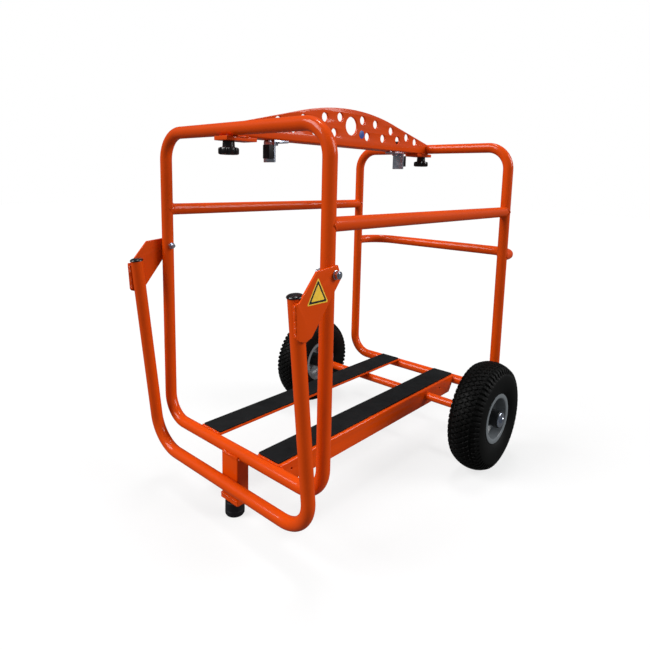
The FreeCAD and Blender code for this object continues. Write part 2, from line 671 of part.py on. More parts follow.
def rim_half():
    """The outer pressed half: a bolted disc, a barrel and a rolled lip."""
    corners = [(HUB_R, 0.0), (DISC_R, 0.0), (BEAD_R, 7.0), (BEAD_R, LIP_Y - 4.0),
               (BEAD_R + 2.0, LIP_Y - SHEET), (LIP_R, LIP_Y - SHEET), (LIP_R, LIP_Y),
               (BEAD_R + 1.0, LIP_Y), (BEAD_R - SHEET, LIP_Y - 3.0),
               (BEAD_R - SHEET, 8.0), (DISC_R - 0.8, SHEET), (HUB_R, SHEET)]
    shape = spun(outline(corners))
    for x, z in rim_bolt_places():
        shape = shape.cut(rod_y(RIM_BOLT_R, -1.0, SHEET + 1.0, x, z))
    return shape


def rim_outer():
    return rim_half().cut(valve_bar(VALVE_R + 0.5, VALVE_END + 4.0, TUBE_RING_R))


def rim_bolt_places():
    places = []
    for quarter in range(4):
        angle = math.radians(45.0 + 90.0 * quarter)
        places.append((RIM_BOLT_CIRCLE * math.cos(angle), RIM_BOLT_CIRCLE * math.sin(angle)))
    return places


def rim_bolts():
    solids = []
    for x, z in rim_bolt_places():
        shank = rod_y(RIM_BOLT_R, -SHEET - RIM_BOLT_TAIL, SHEET, x, z)
        head = hexagon(RIM_BOLT_AF, Vector(x, SHEET, z), Vector(x, SHEET + RIM_BOLT_HEAD, z))
        nut = hexagon(RIM_BOLT_AF, Vector(x, -SHEET - RIM_BOLT_NUT, z), Vector(x, -SHEET, z))
        solids.append(joined([shank, head, nut]))
    return group(solids)


def hub_tube():
    tube = rod_y(HUB_R, -HUB_HALF, HUB_HALF, 0.0, 0.0).cut(rod_y(HUB_BORE_R, -HUB_HALF, HUB_HALF, 0.0, 0.0))
    for side in (-1, 1):
        inner, outer = side * (HUB_HALF - BEARING_WIDTH), side * (HUB_HALF + 1.0)
        tube = tube.cut(rod_y(BEARING_R, inner, outer, 0.0, 0.0))
    return tube


def bearings():
    ring = rod_y(BEARING_R, HUB_HALF - BEARING_WIDTH, HUB_HALF, 0.0, 0.0)
    ring = ring.cut(rod_y(AXLE_R + RUNNING, 0.0, HUB_HALF + 1.0, 0.0, 0.0))
    return group([ring, mirrored(ring)])


def wheel_parts():
    return {"tyre": tyre(), "inner_tube": air_tube(), "rim_outer": rim_outer(),
            "rim_inner": mirrored(rim_half()), "hub_tube": hub_tube(), "bearings": bearings(),
            "rim_bolts": rim_bolts(), "valve_stem": valve_stem()}


# ---- the whole stand --------------------------------------------------------------------------
def stand_parts():
    parts = {"front_hoop": front_hoop(), "rear_hoop": flipped(hoop()), "rear_handle": rear_handle(),
             "leg_tube": leg_tube(), "foot_plate": foot_plate(), "rubber_foot": rubber_foot(),
             "foot_bolt": foot_bolt(), "axle": axle(), "round_sticker": round_sticker(),
             "pull_handle_tube": pull_handle_tube(), "triangle_sticker": triangle_sticker()}
    parts["beam_web"], parts["beam_flange"] = beam_pieces()
    for name, make in (("side_bar", side_bar), ("bearer", bearer), ("bearer_pad", bearer_pad),
                       ("handle_bracket", handle_bracket)):
        left = make()
        parts[name + "_left"] = left
        parts[name + "_right"] = mirrored(left)
    for name, make in (("axle_collars", axle_collar), ("axle_washers", axle_washer),
                       ("axle_bolts", axle_bolt), ("handle_caps", handle_cap), ("pivot_bolts", pivot_bolt),
                       ("pivot_nuts", pivot_nut)):
        parts[name] = both_sides(make())
    washers = group(pivot_washers())
    parts["pivot_washers"] = group([washers, mirrored(washers)])
    for name, make in (("beam_foot", beam_foot), ("knob_grip", knob_grip), ("knob_stud", knob_stud),
                       ("knob_insert", knob_insert)):
        front = make()
        parts["front_" + name] = front
        parts["rear_" + name] = flipped(front)
    for end, outer_x, inward in (("front", FRONT_HOOK_X, 1), ("rear", REAR_HOOK_X, -1)):
        for name, make in (("hook_bracket", hook_bracket), ("hook_block", hook_block),
                           ("clamp_screw", clamp_screw), ("clamp_knob", clamp_knob)):
            parts[end + "_" + name] = make(outer_x, inward)
    for name, shape in wheel_parts().items():
        right = shape.translated(Vector(WHEEL_X, WHEEL_Y, WHEEL_R))
        parts[name + "_right"] = right
        parts[name + "_left"] = mirrored(right)
    return parts


def main():
    os.makedirs("parts", exist_ok=True)
    parts = stand_parts()
    front = parts["handle_caps"].optimalBoundingBox(False, False).XMin
    middle = (front + REAR_HANDLE_X + TUBE_R) / 2.0
    print("origin shift %.3f, parts %d" % (middle, len(parts)))
    for name, shape in sorted(parts.items()):
        moved = shape.translated(Vector(-middle, 0, 0))
        if not moved.isValid():
            print("not valid:", name)
        moved.exportStep(os.path.join("parts", name + ".step"))


main()
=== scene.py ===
"""Looks of the engine stand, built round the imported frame. All sizes are metres in the row frame."""
import math

import bmesh
import bpy
from mathutils import Matrix, Vector, noise


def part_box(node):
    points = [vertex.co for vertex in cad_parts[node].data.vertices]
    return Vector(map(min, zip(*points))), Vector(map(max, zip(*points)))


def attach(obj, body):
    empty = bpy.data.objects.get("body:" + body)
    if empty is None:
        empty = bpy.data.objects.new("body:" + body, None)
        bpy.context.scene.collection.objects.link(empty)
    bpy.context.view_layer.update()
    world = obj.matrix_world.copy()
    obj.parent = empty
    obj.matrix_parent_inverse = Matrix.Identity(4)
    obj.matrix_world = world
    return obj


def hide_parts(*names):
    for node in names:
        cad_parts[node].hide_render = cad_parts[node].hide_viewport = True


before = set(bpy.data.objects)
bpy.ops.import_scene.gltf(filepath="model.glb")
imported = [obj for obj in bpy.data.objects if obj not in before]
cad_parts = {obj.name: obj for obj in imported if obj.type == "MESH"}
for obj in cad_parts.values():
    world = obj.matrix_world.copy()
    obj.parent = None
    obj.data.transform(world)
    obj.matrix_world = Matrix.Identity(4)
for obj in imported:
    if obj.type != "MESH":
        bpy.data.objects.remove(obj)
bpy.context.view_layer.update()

MM = 0.001
AROUND = 48                    # sides of a round tube
BEND_STEPS = 18                # rings along a quarter bend


# ---- places read from the frame ---------------------------------------------------------------
def middle(node):
    low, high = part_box(node)
    return (low + high) / 2.0


front_low, front_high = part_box("front_hoop")
FRONT_X = middle("front_hoop").x
REAR_X = middle("rear_hoop").x
TUBE_R = (front_high.x - front_low.x) / 2.0
POST_Y = front_high.y - TUBE_R
HOOP_LOW = front_low.z + TUBE_R
HOOP_HIGH = front_high.z - TUBE_R
HOOP_BEND = 56 * MM
SIDE_BAR_Z = middle("side_bar_left").z
REAR_HANDLE_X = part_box("rear_handle")[1].x - TUBE_R
REAR_HANDLE_Z = middle("rear_handle").z
HANDLE_BEND = 70 * MM
AXLE = middle("axle")
AXLE_R = 10 * MM


# ---- materials --------------------------------------------------------------------------------
class Nodes:
    """A small helper that adds and links shader nodes."""

    def __init__(self, name):
        self.material = bpy.data.materials.new(name)
        self.material.use_nodes = True
        self.tree = self.material.node_tree
        self.shader = self.tree.nodes["Principled BSDF"]
        coordinates = self.tree.nodes.new("ShaderNodeTexCoord")
        self.place = coordinates.outputs["Object"]

    def add(self, kind, **values):
        node = self.tree.nodes.new(kind)
        for key, value in values.items():
            setattr(node, key, value)
        return node

    def link(self, source, target):
        self.tree.links.new(source, target)

    def noise(self, scale, detail=3.0, rough=0.55, stretch=None):
        node = self.add("ShaderNodeTexNoise")
        node.inputs["Scale"].default_value = scale
        node.inputs["Detail"].default_value = detail
        node.inputs["Roughness"].default_value = rough
        self.link(self.stretched(stretch), node.inputs["Vector"])
        return node.outputs["Fac"]

    def stretched(self, stretch):
        if stretch is None:
            return self.place
        mapping = self.add("ShaderNodeMapping")
        mapping.inputs["Scale"].default_value = stretch
        self.link(self.place, mapping.inputs["Vector"])
        return mapping.outputs["Vector"]

    def cells(self, scale):
        node = self.add("ShaderNodeTexVoronoi")
        node.inputs["Scale"].default_value = scale
        self.link(self.place, node.inputs["Vector"])
        return node.outputs["Distance"]

    def ramp(self, source, stops):
        node = self.add("ShaderNodeValToRGB")
        elements = node.color_ramp.elements
        while len(elements) < len(stops):
            elements.new(0.5)
        for element, (position, colour) in zip(elements, stops):
            element.position = position
            element.color = (*colour, 1.0)
        self.link(source, node.inputs["Fac"])
        return node.outputs["Color"]

    def spread(self, source, low, high):
        """Maps a texture's middle range to low..high."""
        node = self.add("ShaderNodeMapRange")
        node.inputs["From Min"].default_value = 0.3
        node.inputs["From Max"].default_value = 0.7
        node.inputs["To Min"].default_value = low
        node.inputs["To Max"].default_value = high
        self.link(source, node.inputs["Value"])
        return node.outputs["Result"]

    def mix(self, fac, first, second):
        """Mixes a linked colour with a fixed one."""
        node = self.add("ShaderNodeMix", data_type="RGBA")
        self.link(fac, node.inputs["Factor"])
        self.link(first, node.inputs["A"])
        node.inputs["B"].default_value = (*second, 1.0)
        return node.outputs["Result"]

    def bump(self, source, depth, strength=1.0):
        node = self.add("ShaderNodeBump")
        node.inputs["Distance"].default_value = depth
        node.inputs["Strength"].default_value = strength
        self.link(source, node.inputs["Height"])
        return node.outputs["Normal"]

    def set(self, **values):
        for key, value in values.items():
            socket = self.shader.inputs[key.replace("_", " ")]
            if hasattr(value, "is_output"):
                self.link(value, socket)
            elif isinstance(value, tuple):
                socket.default_value = (*value, 1.0)
            else:
                socket.default_value = value
        return self.material


def scaled(colour, factor):
    return tuple(min(1.0, channel * factor) for channel in colour)


def coated_paint(name, colour, gloss, shine, peel):
    """Powder coat: a slightly uneven colour under a clear, faintly rippled skin."""
    n = Nodes(name)
    tone = n.ramp(n.noise(9.0), [(0.3, scaled(colour, 0.94)), (0.7, scaled(colour, 1.05))])
    ripple = n.bump(n.noise(420.0, 2.0), peel, 0.35)
    return n.set(Base_Color=tone, Roughness=n.spread(n.noise(24.0), gloss - 0.04, gloss + 0.05),
                 Specular_IOR_Level=0.06, Coat_Weight=shine, Coat_Roughness=0.09, Normal=ripple)


def rubber(name, colour, rough, grain, depth, dust):
    """Matt rubber with a moulded grain and a little grey dust."""
    n = Nodes(name)
    dusting = n.spread(n.noise(22.0, 5.0), 0.0, dust)
    base = n.mix(dusting, n.ramp(n.noise(55.0), [(0.3, scaled(colour, 0.8)), (0.7, scaled(colour, 1.25))]),
                 (0.16, 0.16, 0.15))
    grained = n.bump(n.noise(grain, 3.0), depth, 0.8)
    return n.set(Base_Color=base, Roughness=n.spread(n.noise(60.0), rough - 0.07, rough + 0.08),
                 Specular_IOR_Level=0.12, Normal=grained)


def moulded_plastic(name, colour, rough):
    n = Nodes(name)
    tone = n.ramp(n.noise(45.0), [(0.3, scaled(colour, 0.8)), (0.7, scaled(colour, 1.3))])
    skin = n.bump(n.noise(700.0, 2.0), 0.00003, 0.6)
    return n.set(Base_Color=tone, Roughness=n.spread(n.noise(90.0), rough - 0.05, rough + 0.08),
                 Coat_Weight=0.15, Coat_Roughness=0.12, Specular_IOR_Level=0.4, Normal=skin)


def plated_steel(name, colour, rough):
    """Bright zinc plate: mottled bluish metal with fine rolling lines."""
    n = Nodes(name)
    tone = n.ramp(n.cells(120.0), [(0.1, scaled(colour, 0.88)), (0.7, scaled(colour, 1.08))])
    lines = n.bump(n.noise(300.0, 3.0, stretch=(1.0, 1.0, 0.08)), 0.00004, 0.5)
    return n.set(Base_Color=tone, Metallic=1.0, Roughness=n.spread(n.noise(70.0), rough - 0.06, rough + 0.1),
                 Normal=lines)


def vinyl(name, colour):
    n = Nodes(name)
    tone = n.ramp(n.noise(140.0), [(0.3, scaled(colour, 0.92)), (0.7, scaled(colour, 1.06))])
    return n.set(Base_Color=tone, Roughness=n.spread(n.noise(60.0), 0.3, 0.45),
                 Normal=n.bump(n.noise(500.0), 0.00003, 0.5))


ORANGE = coated_paint("orange_powder_coat", (0.64, 0.059, 0.0002), 0.45, 0.38, 0.00003)
GREY = coated_paint("grey_rim_paint", (0.165, 0.182, 0.195), 0.40, 0.25, 0.00006)
# the hub barrel is drawn near-black, far darker than the grey rim, to give the dark ring round the axle
# washer
HUB = coated_paint("near_black_hub", (0.022, 0.024, 0.026), 0.4, 0.25, 0.00005)
PAD = rubber("pad_rubber_sheet", (0.0050, 0.0056, 0.0064), 0.62, 900.0, 0.00025, 0.02)
MOULDED = rubber("moulded_black_rubber", (0.010, 0.010, 0.012), 0.5, 500.0, 0.00012, 0.06)
TYRE = rubber("tyre_rubber", (0.0012, 0.0014, 0.0013), 0.55, 420.0, 0.0001, 0.0006)
PLASTIC = moulded_plastic("black_grip_plastic", (0.006, 0.006, 0.007), 0.22)
ZINC = plated_steel("zinc_plate", (0.62, 0.68, 0.80), 0.24)
STEEL = plated_steel("dark_bearing_steel", (0.12, 0.12, 0.13), 0.4)
BLUE = vinyl("blue_vinyl", (0.015, 0.07, 0.33))
YELLOW = vinyl("yellow_vinyl", (0.86, 0.55, 0.045))
BLACK_PRINT = vinyl("black_vinyl", (0.012, 0.012, 0.012))


# ---- mesh building ----------------------------------------------------------------------------
def finish_mesh(mesh, sharp=35.0):
    work = bmesh.new()
    work.from_mesh(mesh)
    bmesh.ops.remove_doubles(work, verts=work.verts, dist=1e-6)
    bmesh.ops.recalc_face_normals(work, faces=work.faces)
    work.to_mesh(mesh)
    work.free()
    mesh.shade_smooth()
    mesh.set_sharp_from_angle(angle=math.radians(sharp))
    return mesh


def mesh_from(vertices, faces, name="mesh", sharp=35.0):
    mesh = bpy.data.meshes.new(name)
    mesh.from_pydata([tuple(v) for v in vertices], [], faces)
    return finish_mesh(mesh, sharp)


def merged(meshes, name):
    """One mesh from several, kept as separate shells."""
    work = bmesh.new()
    for mesh in meshes:
        work.from_mesh(mesh)
    mesh = bpy.data.meshes.new(name)
    work.to_mesh(mesh)
    work.free()
    mesh.shade_smooth()
    mesh.set_sharp_from_angle(angle=math.radians(35.0))
    return mesh


def piece(name, mesh, body, material, nodes=()):
    """Adds one visible piece that moves with a body and stands for the given CAD nodes."""
    thing = bpy.data.objects.new(name, mesh)
    bpy.context.scene.collection.objects.link(thing)
    mesh.materials.clear()
    mesh.materials.append(material)
    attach(thing, body)
    if nodes:
        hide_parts(*nodes)


def painted(name, mesh, nodes=(), body="frame"):
    piece(name, mesh, body, ORANGE, nodes)


def plated(name, mesh, body, nodes=()):
    piece(name, mesh, body, ZINC, nodes)


def in_mm(profile):
    return [(a * MM, b * MM) for a, b in profile]


def axes(axis):
    """An axis as a unit vector, with two directions square to it."""
    up = Vector(axis).normalized()
    side = up.orthogonal().normalized()
    return up, side, up.cross(side)


def corner_arc(before_point, corner, after_point, bend, steps):
    """Points of the arc of radius bend that turns a corner."""
    before = (corner - before_point).normalized()
    after = (after_point - corner).normalized()
    turn = before.angle(after)
    if turn < 0.02:
        return [corner]
    start = corner - before * (bend * math.tan(turn / 2.0))
    axis = before.cross(after).normalized()
    centre = start + axis.cross(before) * bend
    spoke = start - centre
    return [centre + Matrix.Rotation(turn * step / steps, 3, axis) @ spoke for step in range(steps + 1)]


def rounded(corners, bend, closed=False):
    """A path through corners that are turned to one bend radius."""
    count = len(corners)
    path = []
    for i, corner in enumerate(corners):
        if not closed and i in (0, count - 1):
            path.append(corner.copy())
            continue
        path += corner_arc(corners[i - 1], corner, corners[(i + 1) % count], bend, BEND_STEPS)
    return path


def sweep(path, radius, closed=False, around=AROUND, wobble=None):
    """A round bar along a flat path. wobble(i, angle) scales the radius of ring i."""
    count = len(path)
    normal = None
    for i in range(1, count - 1):
        turn = (path[i] - path[i - 1]).cross(path[i + 1] - path[i])
        if turn.length > 1e-12:
            normal = turn.normalized()
            break
    if normal is None:
        run = (path[-1] - path[0]).normalized()
        normal = run.orthogonal().normalized()
    vertices = []
    for i, point in enumerate(path):
        previous = path[i - 1] if closed or i else path[i]
        following = path[(i + 1) % count] if closed or i < count - 1 else path[i]
        run = (following - previous).normalized()
        side = normal.cross(run).normalized()
        for step in range(around):
            angle = 2.0 * math.pi * step / around
            reach = radius if wobble is None else radius * wobble(i, angle)
            vertices.append(point + (normal * math.cos(angle) + side * math.sin(angle)) * reach)
    faces = []
    for i in range(count if closed else count - 1):
        for step in range(around):
            a, b = i * around + step, i * around + (step + 1) % around
            c, d = (i + 1) % count * around + step, (i + 1) % count * around + (step + 1) % around
            faces.append((a, b, d, c))
    if not closed:
        faces.append(tuple(reversed(range(around))))
        faces.append(tuple(range((count - 1) * around, count * around)))
    return mesh_from(vertices, faces)


def lathe(profile, centre, axis, around=96, radius_at=None, sharp=30.0):
    """A profile of (radius, height) points turned about an axis. radius_at(angle, radius) may shape it."""
    up, side, other = axes(axis)
    vertices, rings = [], []
    for radius, height in profile:
        if radius < 1e-7:
            rings.append([len(vertices)])
            vertices.append(centre + up * height)
            continue
        ring = []
        for step in range(around):
            angle = 2.0 * math.pi * step / around
            reach = radius if radius_at is None else radius_at(angle, radius)
            ring.append(len(vertices))
            vertices.append(centre + up * height + (side * math.cos(angle) + other * math.sin(angle)) * reach)
        rings.append(ring)
    faces = []
    closed = profile[0][0] > 1e-7 and profile[-1][0] > 1e-7
    for i in range(len(rings) if closed else len(rings) - 1):
        first, second = rings[i], rings[(i + 1) % len(rings)]
        for step in range(around):
            after = (step + 1) % around
            if len(first) == 1 and len(second) == 1:
                break
            if len(first) == 1:
                faces.append((first[0], second[step], second[after]))
            elif len(second) == 1:
                faces.append((first[step], first[after], second[0]))
            else:
                faces.append((first[step], first[after], second[after], second[step]))
    return mesh_from(vertices, faces, sharp=sharp)


PLANES = {
    "XY": Matrix(((1, 0, 0), (0, 1, 0), (0, 0, 1))),
    "XZ": Matrix(((1, 0, 0), (0, 0, -1), (0, 1, 0))),
    "YZ": Matrix(((0, 0, 1), (1, 0, 0), (0, 1, 0))),
}


def plate(outline, holes, plane, low, high, edge):
    """A flat plate with rounded edges. Outline and holes are lists of 2-D points in the plane's axes;
    low and high are its faces along the third axis."""
    curve = bpy.data.curves.new("plate", "CURVE")
    curve.dimensions = "2D"
    curve.fill_mode = "BOTH"
    curve.bevel_depth = edge
    curve.bevel_resolution = 2
    curve.offset = -edge
    curve.extrude = (high - low) / 2.0 - edge
    for loop in [outline] + list(holes):
        spline = curve.splines.new("POLY")
        spline.points.add(len(loop) - 1)
        for point, (a, b) in zip(spline.points, loop):
            point.co = (a, b, 0.0, 1.0)
        spline.use_cyclic_u = True
    holder = bpy.data.objects.new("plate", curve)
    bpy.context.scene.collection.objects.link(holder)
    mesh = bpy.data.meshes.new_from_object(holder.evaluated_get(bpy.context.evaluated_depsgraph_get()))
    bpy.data.objects.remove(holder)
    bpy.data.curves.remove(curve)
    turn = PLANES[plane].to_4x4()
    axis = PLANES[plane] @ Vector((0, 0, 1))
    sign = axis.x + axis.y + axis.z
    mesh.transform(Matrix.Translation(axis * (sign * (low + high) / 2.0)) @ turn)
    return finish_mesh(mesh, 32.0)


def slab(node, corner, edge):
    """A flat-lying plate that fills a CAD node's box."""
    low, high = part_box(node)
    return plate(rectangle(low.x, high.x, low.y, high.y, corner), [], "XY", low.z, high.z, edge)


def washer(bore, radius, start, stop, edge, centre, axis, around):
    """A ring from start to stop along its axis, with its outer corners taken off by edge. A bore of 0
    gives a plain round pin."""
    rim = radius - edge[0]
    profile = [(bore, start), (rim, start), (radius, start + edge[1]), (radius, stop - edge[1]), (rim, stop),
               (bore, stop)]
    return lathe(profile, centre, axis, around)


def circle(a, b, radius, steps=40):
    angles = [2.0 * math.pi * i / steps for i in range(steps)]
    return [(a + radius * math.cos(angle), b + radius * math.sin(angle)) for angle in angles]


def rectangle(a0, a1, b0, b1, radius=0.0, steps=6):
    if not radius:
        return [(a0, b0), (a1, b0), (a1, b1), (a0, b1)]
    points = []
    for a, b, turn in ((a1 - radius, b0 + radius, -90), (a1 - radius, b1 - radius, 0),
                       (a0 + radius, b1 - radius, 90), (a0 + radius, b0 + radius, 180)):
        for step in range(steps + 1):
            angle = math.radians(turn + 90.0 * step / steps)
            points.append((a + radius * math.cos(angle), b + radius * math.sin(angle)))
    return points


def soft_corners(corners, radius, steps=6):
    """A closed outline with each corner rounded."""
    points = [Vector((a, b, 0.0)) for a, b in corners]
    path = []
    count = len(points)
    for i, corner in enumerate(points):
        arc = corner_arc(points[i - 1], corner, points[(i + 1) % count], radius, steps)
        path += [(point.x, point.y) for point in arc]
    return path


def hexagon(centre, axis, across, height, bore=0.0):
    """A chamfered hexagon head or nut standing on centre."""
    up, side, other = axes(axis)
    apothem = across / 2.0
    steps = 48
    rings = [[], [], []]
    for step in range(steps):
        angle = 2.0 * math.pi * step / steps
        local = (angle % (math.pi / 3.0)) - math.pi / 6.0
        reach = apothem / math.cos(local)
        drop = (reach - apothem) * 0.9
        out = side * math.cos(angle) + other * math.sin(angle)
        rings[0].append(centre + out * reach)
        rings[1].append(centre + out * reach + up * (height - drop - 0.02 * across))
        rings[2].append(centre + out * (apothem * 0.95) + up * height)
    vertices = [point for ring in rings for point in ring]
    faces = []
    for ring in range(2):
        for step in range(steps):
            a, b = ring * steps + step, ring * steps + (step + 1) % steps
            faces.append((a, b, b + steps, a + steps))
    if bore:
        for height_at in (height, 0.0):
            for step in range(steps):
                angle = 2.0 * math.pi * step / steps
                out = side * math.cos(angle) + other * math.sin(angle)
                vertices.append(centre + out * bore + up * height_at)
        for step in range(steps):
            after = (step + 1) % steps
            faces.append((2 * steps + step, 2 * steps + after, 3 * steps + after, 3 * steps + step))
            faces.append((3 * steps + step, 3 * steps + after, 4 * steps + after, 4 * steps + step))
            faces.append((4 * steps + step, 4 * steps + after, after, step))
    else:
        faces.append(tuple(range(2 * steps, 3 * steps)))
        faces.append(tuple(reversed(range(steps))))
    return mesh_from(vertices, faces, sharp=25.0)


def bead(path, radius, closed=False, seed=0):
    """A weld bead: a low ridge with the overlapping ripples of a hand weld."""
    dense = []
    count = len(path)
    for i in range(count if closed else count - 1):
        start, end = path[i], path[(i + 1) % count]
        parts = max(1, round((end - start).length / (0.5 * MM)))
        dense += [start.lerp(end, step / parts) for step in range(parts)]
    if not closed:
        dense.append(path[-1].copy())
    pitch = 2.4 * MM
    lengths = [0.0]
    for a, b in zip(dense, dense[1:]):
        lengths.append(lengths[-1] + (b - a).length)

    def wobble(i, angle):
        ripple = (lengths[i] / pitch) % 1.0
        uneven = noise.noise(Vector((lengths[i] * 160.0, math.cos(angle), seed + math.sin(angle))))
        ends = 1.0
        if not closed:
            ends = min(1.0, (min(lengths[i], lengths[-1] - lengths[i]) + 0.4 * MM) / (1.6 * MM)) ** 0.5
        return ends * (0.86 + 0.22 * (1.0 - (2.0 * ripple - 1.0) ** 2) + 0.16 * uneven)

    return sweep(dense, radius, closed, around=10, wobble=wobble)


def at(x, y, z):
    """A point given in millimetres from the front hoop's plane, the middle plane and the floor."""
    return Vector((FRONT_X + x * MM, y * MM, z * MM))


def shift_x(points):
    """Outline points whose first coordinate is millimetres from the front hoop's plane."""
    return [(FRONT_X + a * MM, b * MM) for a, b in points]


LENGTH = (REAR_X - FRONT_X) / MM
SIDES = (("left", -1), ("right", 1))


# ---- tubes of the frame -----------------------------------------------------------------------
def hoop_path(x):
    corners = [Vector((x, -POST_Y, HOOP_LOW)), Vector((x, POST_Y, HOOP_LOW)),
               Vector((x, POST_Y, HOOP_HIGH)), Vector((x, -POST_Y, HOOP_HIGH))]
    return rounded(corners, HOOP_BEND, closed=True)


def add_frame_tubes():
    for name, x in (("front_hoop", FRONT_X), ("rear_hoop", REAR_X)):
        painted(name + "_tube", sweep(hoop_path(x), TUBE_R, closed=True), [name])
    for side, sign in SIDES:
        ends = [Vector((FRONT_X, sign * POST_Y, SIDE_BAR_Z)), Vector((REAR_X, sign * POST_Y, SIDE_BAR_Z))]
        painted("side_bar_tube_" + side, sweep(ends, TUBE_R), ["side_bar_" + side])
    corners = [Vector((REAR_X, -POST_Y, REAR_HANDLE_Z)), Vector((REAR_HANDLE_X, -POST_Y, REAR_HANDLE_Z)),
               Vector((REAR_HANDLE_X, POST_Y, REAR_HANDLE_Z)), Vector((REAR_X, POST_Y, REAR_HANDLE_Z))]
    painted("rear_handle_tube", sweep(rounded(corners, HANDLE_BEND), TUBE_R), ["rear_handle"])


def saddle(post_x, post_y, z, direction):
    """The line where a tube along +X or -X meets a post of its own size."""
    path = []
    for step in range(72):
        angle = 2.0 * math.pi * step / 72
        across = (TUBE_R + 0.2 * MM) * math.cos(angle)
        path.append(Vector((post_x + direction * abs(TUBE_R * math.sin(angle)), post_y + across,
                            z + (TUBE_R + 0.2 * MM) * math.sin(angle))))
    return path


def ring(centre, axis, radius, steps=72):
    _, side, other = axes(axis)
    return [centre + (side * math.cos(a) + other * math.sin(a)) * radius
            for a in (2.0 * math.pi * step / steps for step in range(steps))]


def add_tube_welds():
    beads = []
    for _, sign in SIDES:
        beads.append(bead(saddle(FRONT_X, sign * POST_Y, SIDE_BAR_Z, 1), 2.0 * MM, True, 1))
        beads.append(bead(saddle(REAR_X, sign * POST_Y, SIDE_BAR_Z, -1), 2.0 * MM, True, 2))
        beads.append(bead(saddle(REAR_X, sign * POST_Y, REAR_HANDLE_Z, 1), 2.0 * MM, True, 3))
    painted("tube_welds", merged(beads, "tube_welds"))


# ---- bearers ----------------------------------------------------------------------------------
BEARER_Y0, BEARER_Y1 = 60.0, 125.0
BEARER_THICK = 5.0
BEARER_TOP = 149.0
BEARER_BOTTOM = 106.0
BEARER_END = 7.0
BEARER_BEND = 4.0
CHAMFER_X, CHAMFER_Z = 30.0, 138.0
DRAINS = ((36.0, 132.0), (597.0, 133.0))
DRAIN_R = 2.5


def bend_strip(y_side, sign, z_top, y_flange, x0, x1, thick, bend, depth):
    """The top of an angle: the turned corner and the flange, as one rounded extrusion along X.
    y_side is the outer face of the upright; the flange runs from there to y_flange."""
    inner = y_side - sign * thick
    edge = 0.7
    arc_y, arc_z = y_side - sign * bend, z_top - bend
    profile = [(inner, z_top - depth), (y_side, z_top - depth)]
    for step in range(9):
        angle = math.radians(90.0 * step / 8)
        profile.append((arc_y + sign * bend * math.cos(angle), arc_z + bend * math.sin(angle)))
    z_under = z_top - thick
    profile += [(y_flange + sign * edge, z_top), (y_flange + sign * 0.2, z_top - 0.2),
                (y_flange, z_top - edge), (y_flange, z_under + edge), (y_flange + sign * 0.2, z_under + 0.2),
                (y_flange + sign * edge, z_under), (inner - sign * 1.0, z_under),
                (inner - sign * 0.3, z_under - 0.3), (inner, z_under - 1.0)]
    vertices, count = [], len(profile)
    middle_y = sum(y for y, z in profile) / count
    middle_z = sum(z for y, z in profile) / count
    rounding = ((0.0, 0.4), (0.12, 0.12), (0.4, 0.0))
    sections = [(x0 + along, inset) for along, inset in rounding]
    sections += [(x1 - along, inset) for along, inset in reversed(rounding)]
    for x, inset in sections:
        for y, z in profile:
            towards = Vector((middle_y - y, middle_z - z)).normalized() * inset
            vertices.append(at(x, y + towards.x, z + towards.y))
    faces = []
    for section in range(5):
        for i in range(count):
            a, b = section * count + i, section * count + (i + 1) % count
            faces.append((a, b, b + count, a + count))
    faces += [tuple(range(count)), tuple(range(5 * count, 6 * count))]
    return mesh_from(vertices, faces)


def add_bearers():
    for side, sign in SIDES:
        far, bend_z = LENGTH - BEARER_END, BEARER_TOP - BEARER_BEND - 0.2
        outline = [(BEARER_END, bend_z), (BEARER_END, CHAMFER_Z), (CHAMFER_X, BEARER_BOTTOM),
                   (LENGTH - CHAMFER_X, BEARER_BOTTOM), (far, CHAMFER_Z), (far, bend_z)]
        holes = [shift_x(circle(x, z, DRAIN_R, 24)) for x, z in DRAINS]
        low, high = sorted((sign * (BEARER_Y1 - 0.03) * MM, sign * (BEARER_Y1 - BEARER_THICK + 0.03) * MM))
        upright = plate(shift_x(soft_corners(outline, 1.5)), holes, "XZ", low, high, 0.6 * MM)
        top = bend_strip(sign * BEARER_Y1, sign, BEARER_TOP, sign * BEARER_Y0, BEARER_END, far,
                         BEARER_THICK, BEARER_BEND, 6.5)
        painted("bearer_angle_" + side, merged([upright, top], "bearer"), ["bearer_" + side])
        pad = slab("bearer_pad_" + side, 1.2 * MM, 0.9 * MM)
        piece("bearer_pad_sheet_" + side, pad, "frame", PAD, ["bearer_pad_" + side])


def add_bearer_welds():
    """Beads where each bearer meets the two hoops and the axle."""
    beads = []
    top = BEARER_TOP - 2.2
    for _, sign in SIDES:
        for x_end, into in ((BEARER_END, -1), (LENGTH - BEARER_END, 1)):
            across = [at(x_end + into * 0.3, sign * y, top + 0.3) for y in (BEARER_Y0 + 1.0, BEARER_Y1 - 2.0)]
            beads.append(bead(across, 2.6 * MM, seed=5 + into))
            y_out = sign * (BEARER_Y1 + 0.2)
            outside = [at(x_end + 1.5, y_out, 144.0), at(x_end - into * 6.0, y_out, 136.0)]
            beads.append(bead(outside, 2.0 * MM, seed=7 + into))
        for y in (BEARER_Y1 + 0.4, BEARER_Y1 - BEARER_THICK - 0.4):
            place = Vector((AXLE.x, sign * y * MM, AXLE.z))
            beads.append(bead(ring(place, (0, 1, 0), AXLE_R + 0.3 * MM), 1.9 * MM, True, 9))
    painted("bearer_welds", merged(beads, "bearer_welds"))


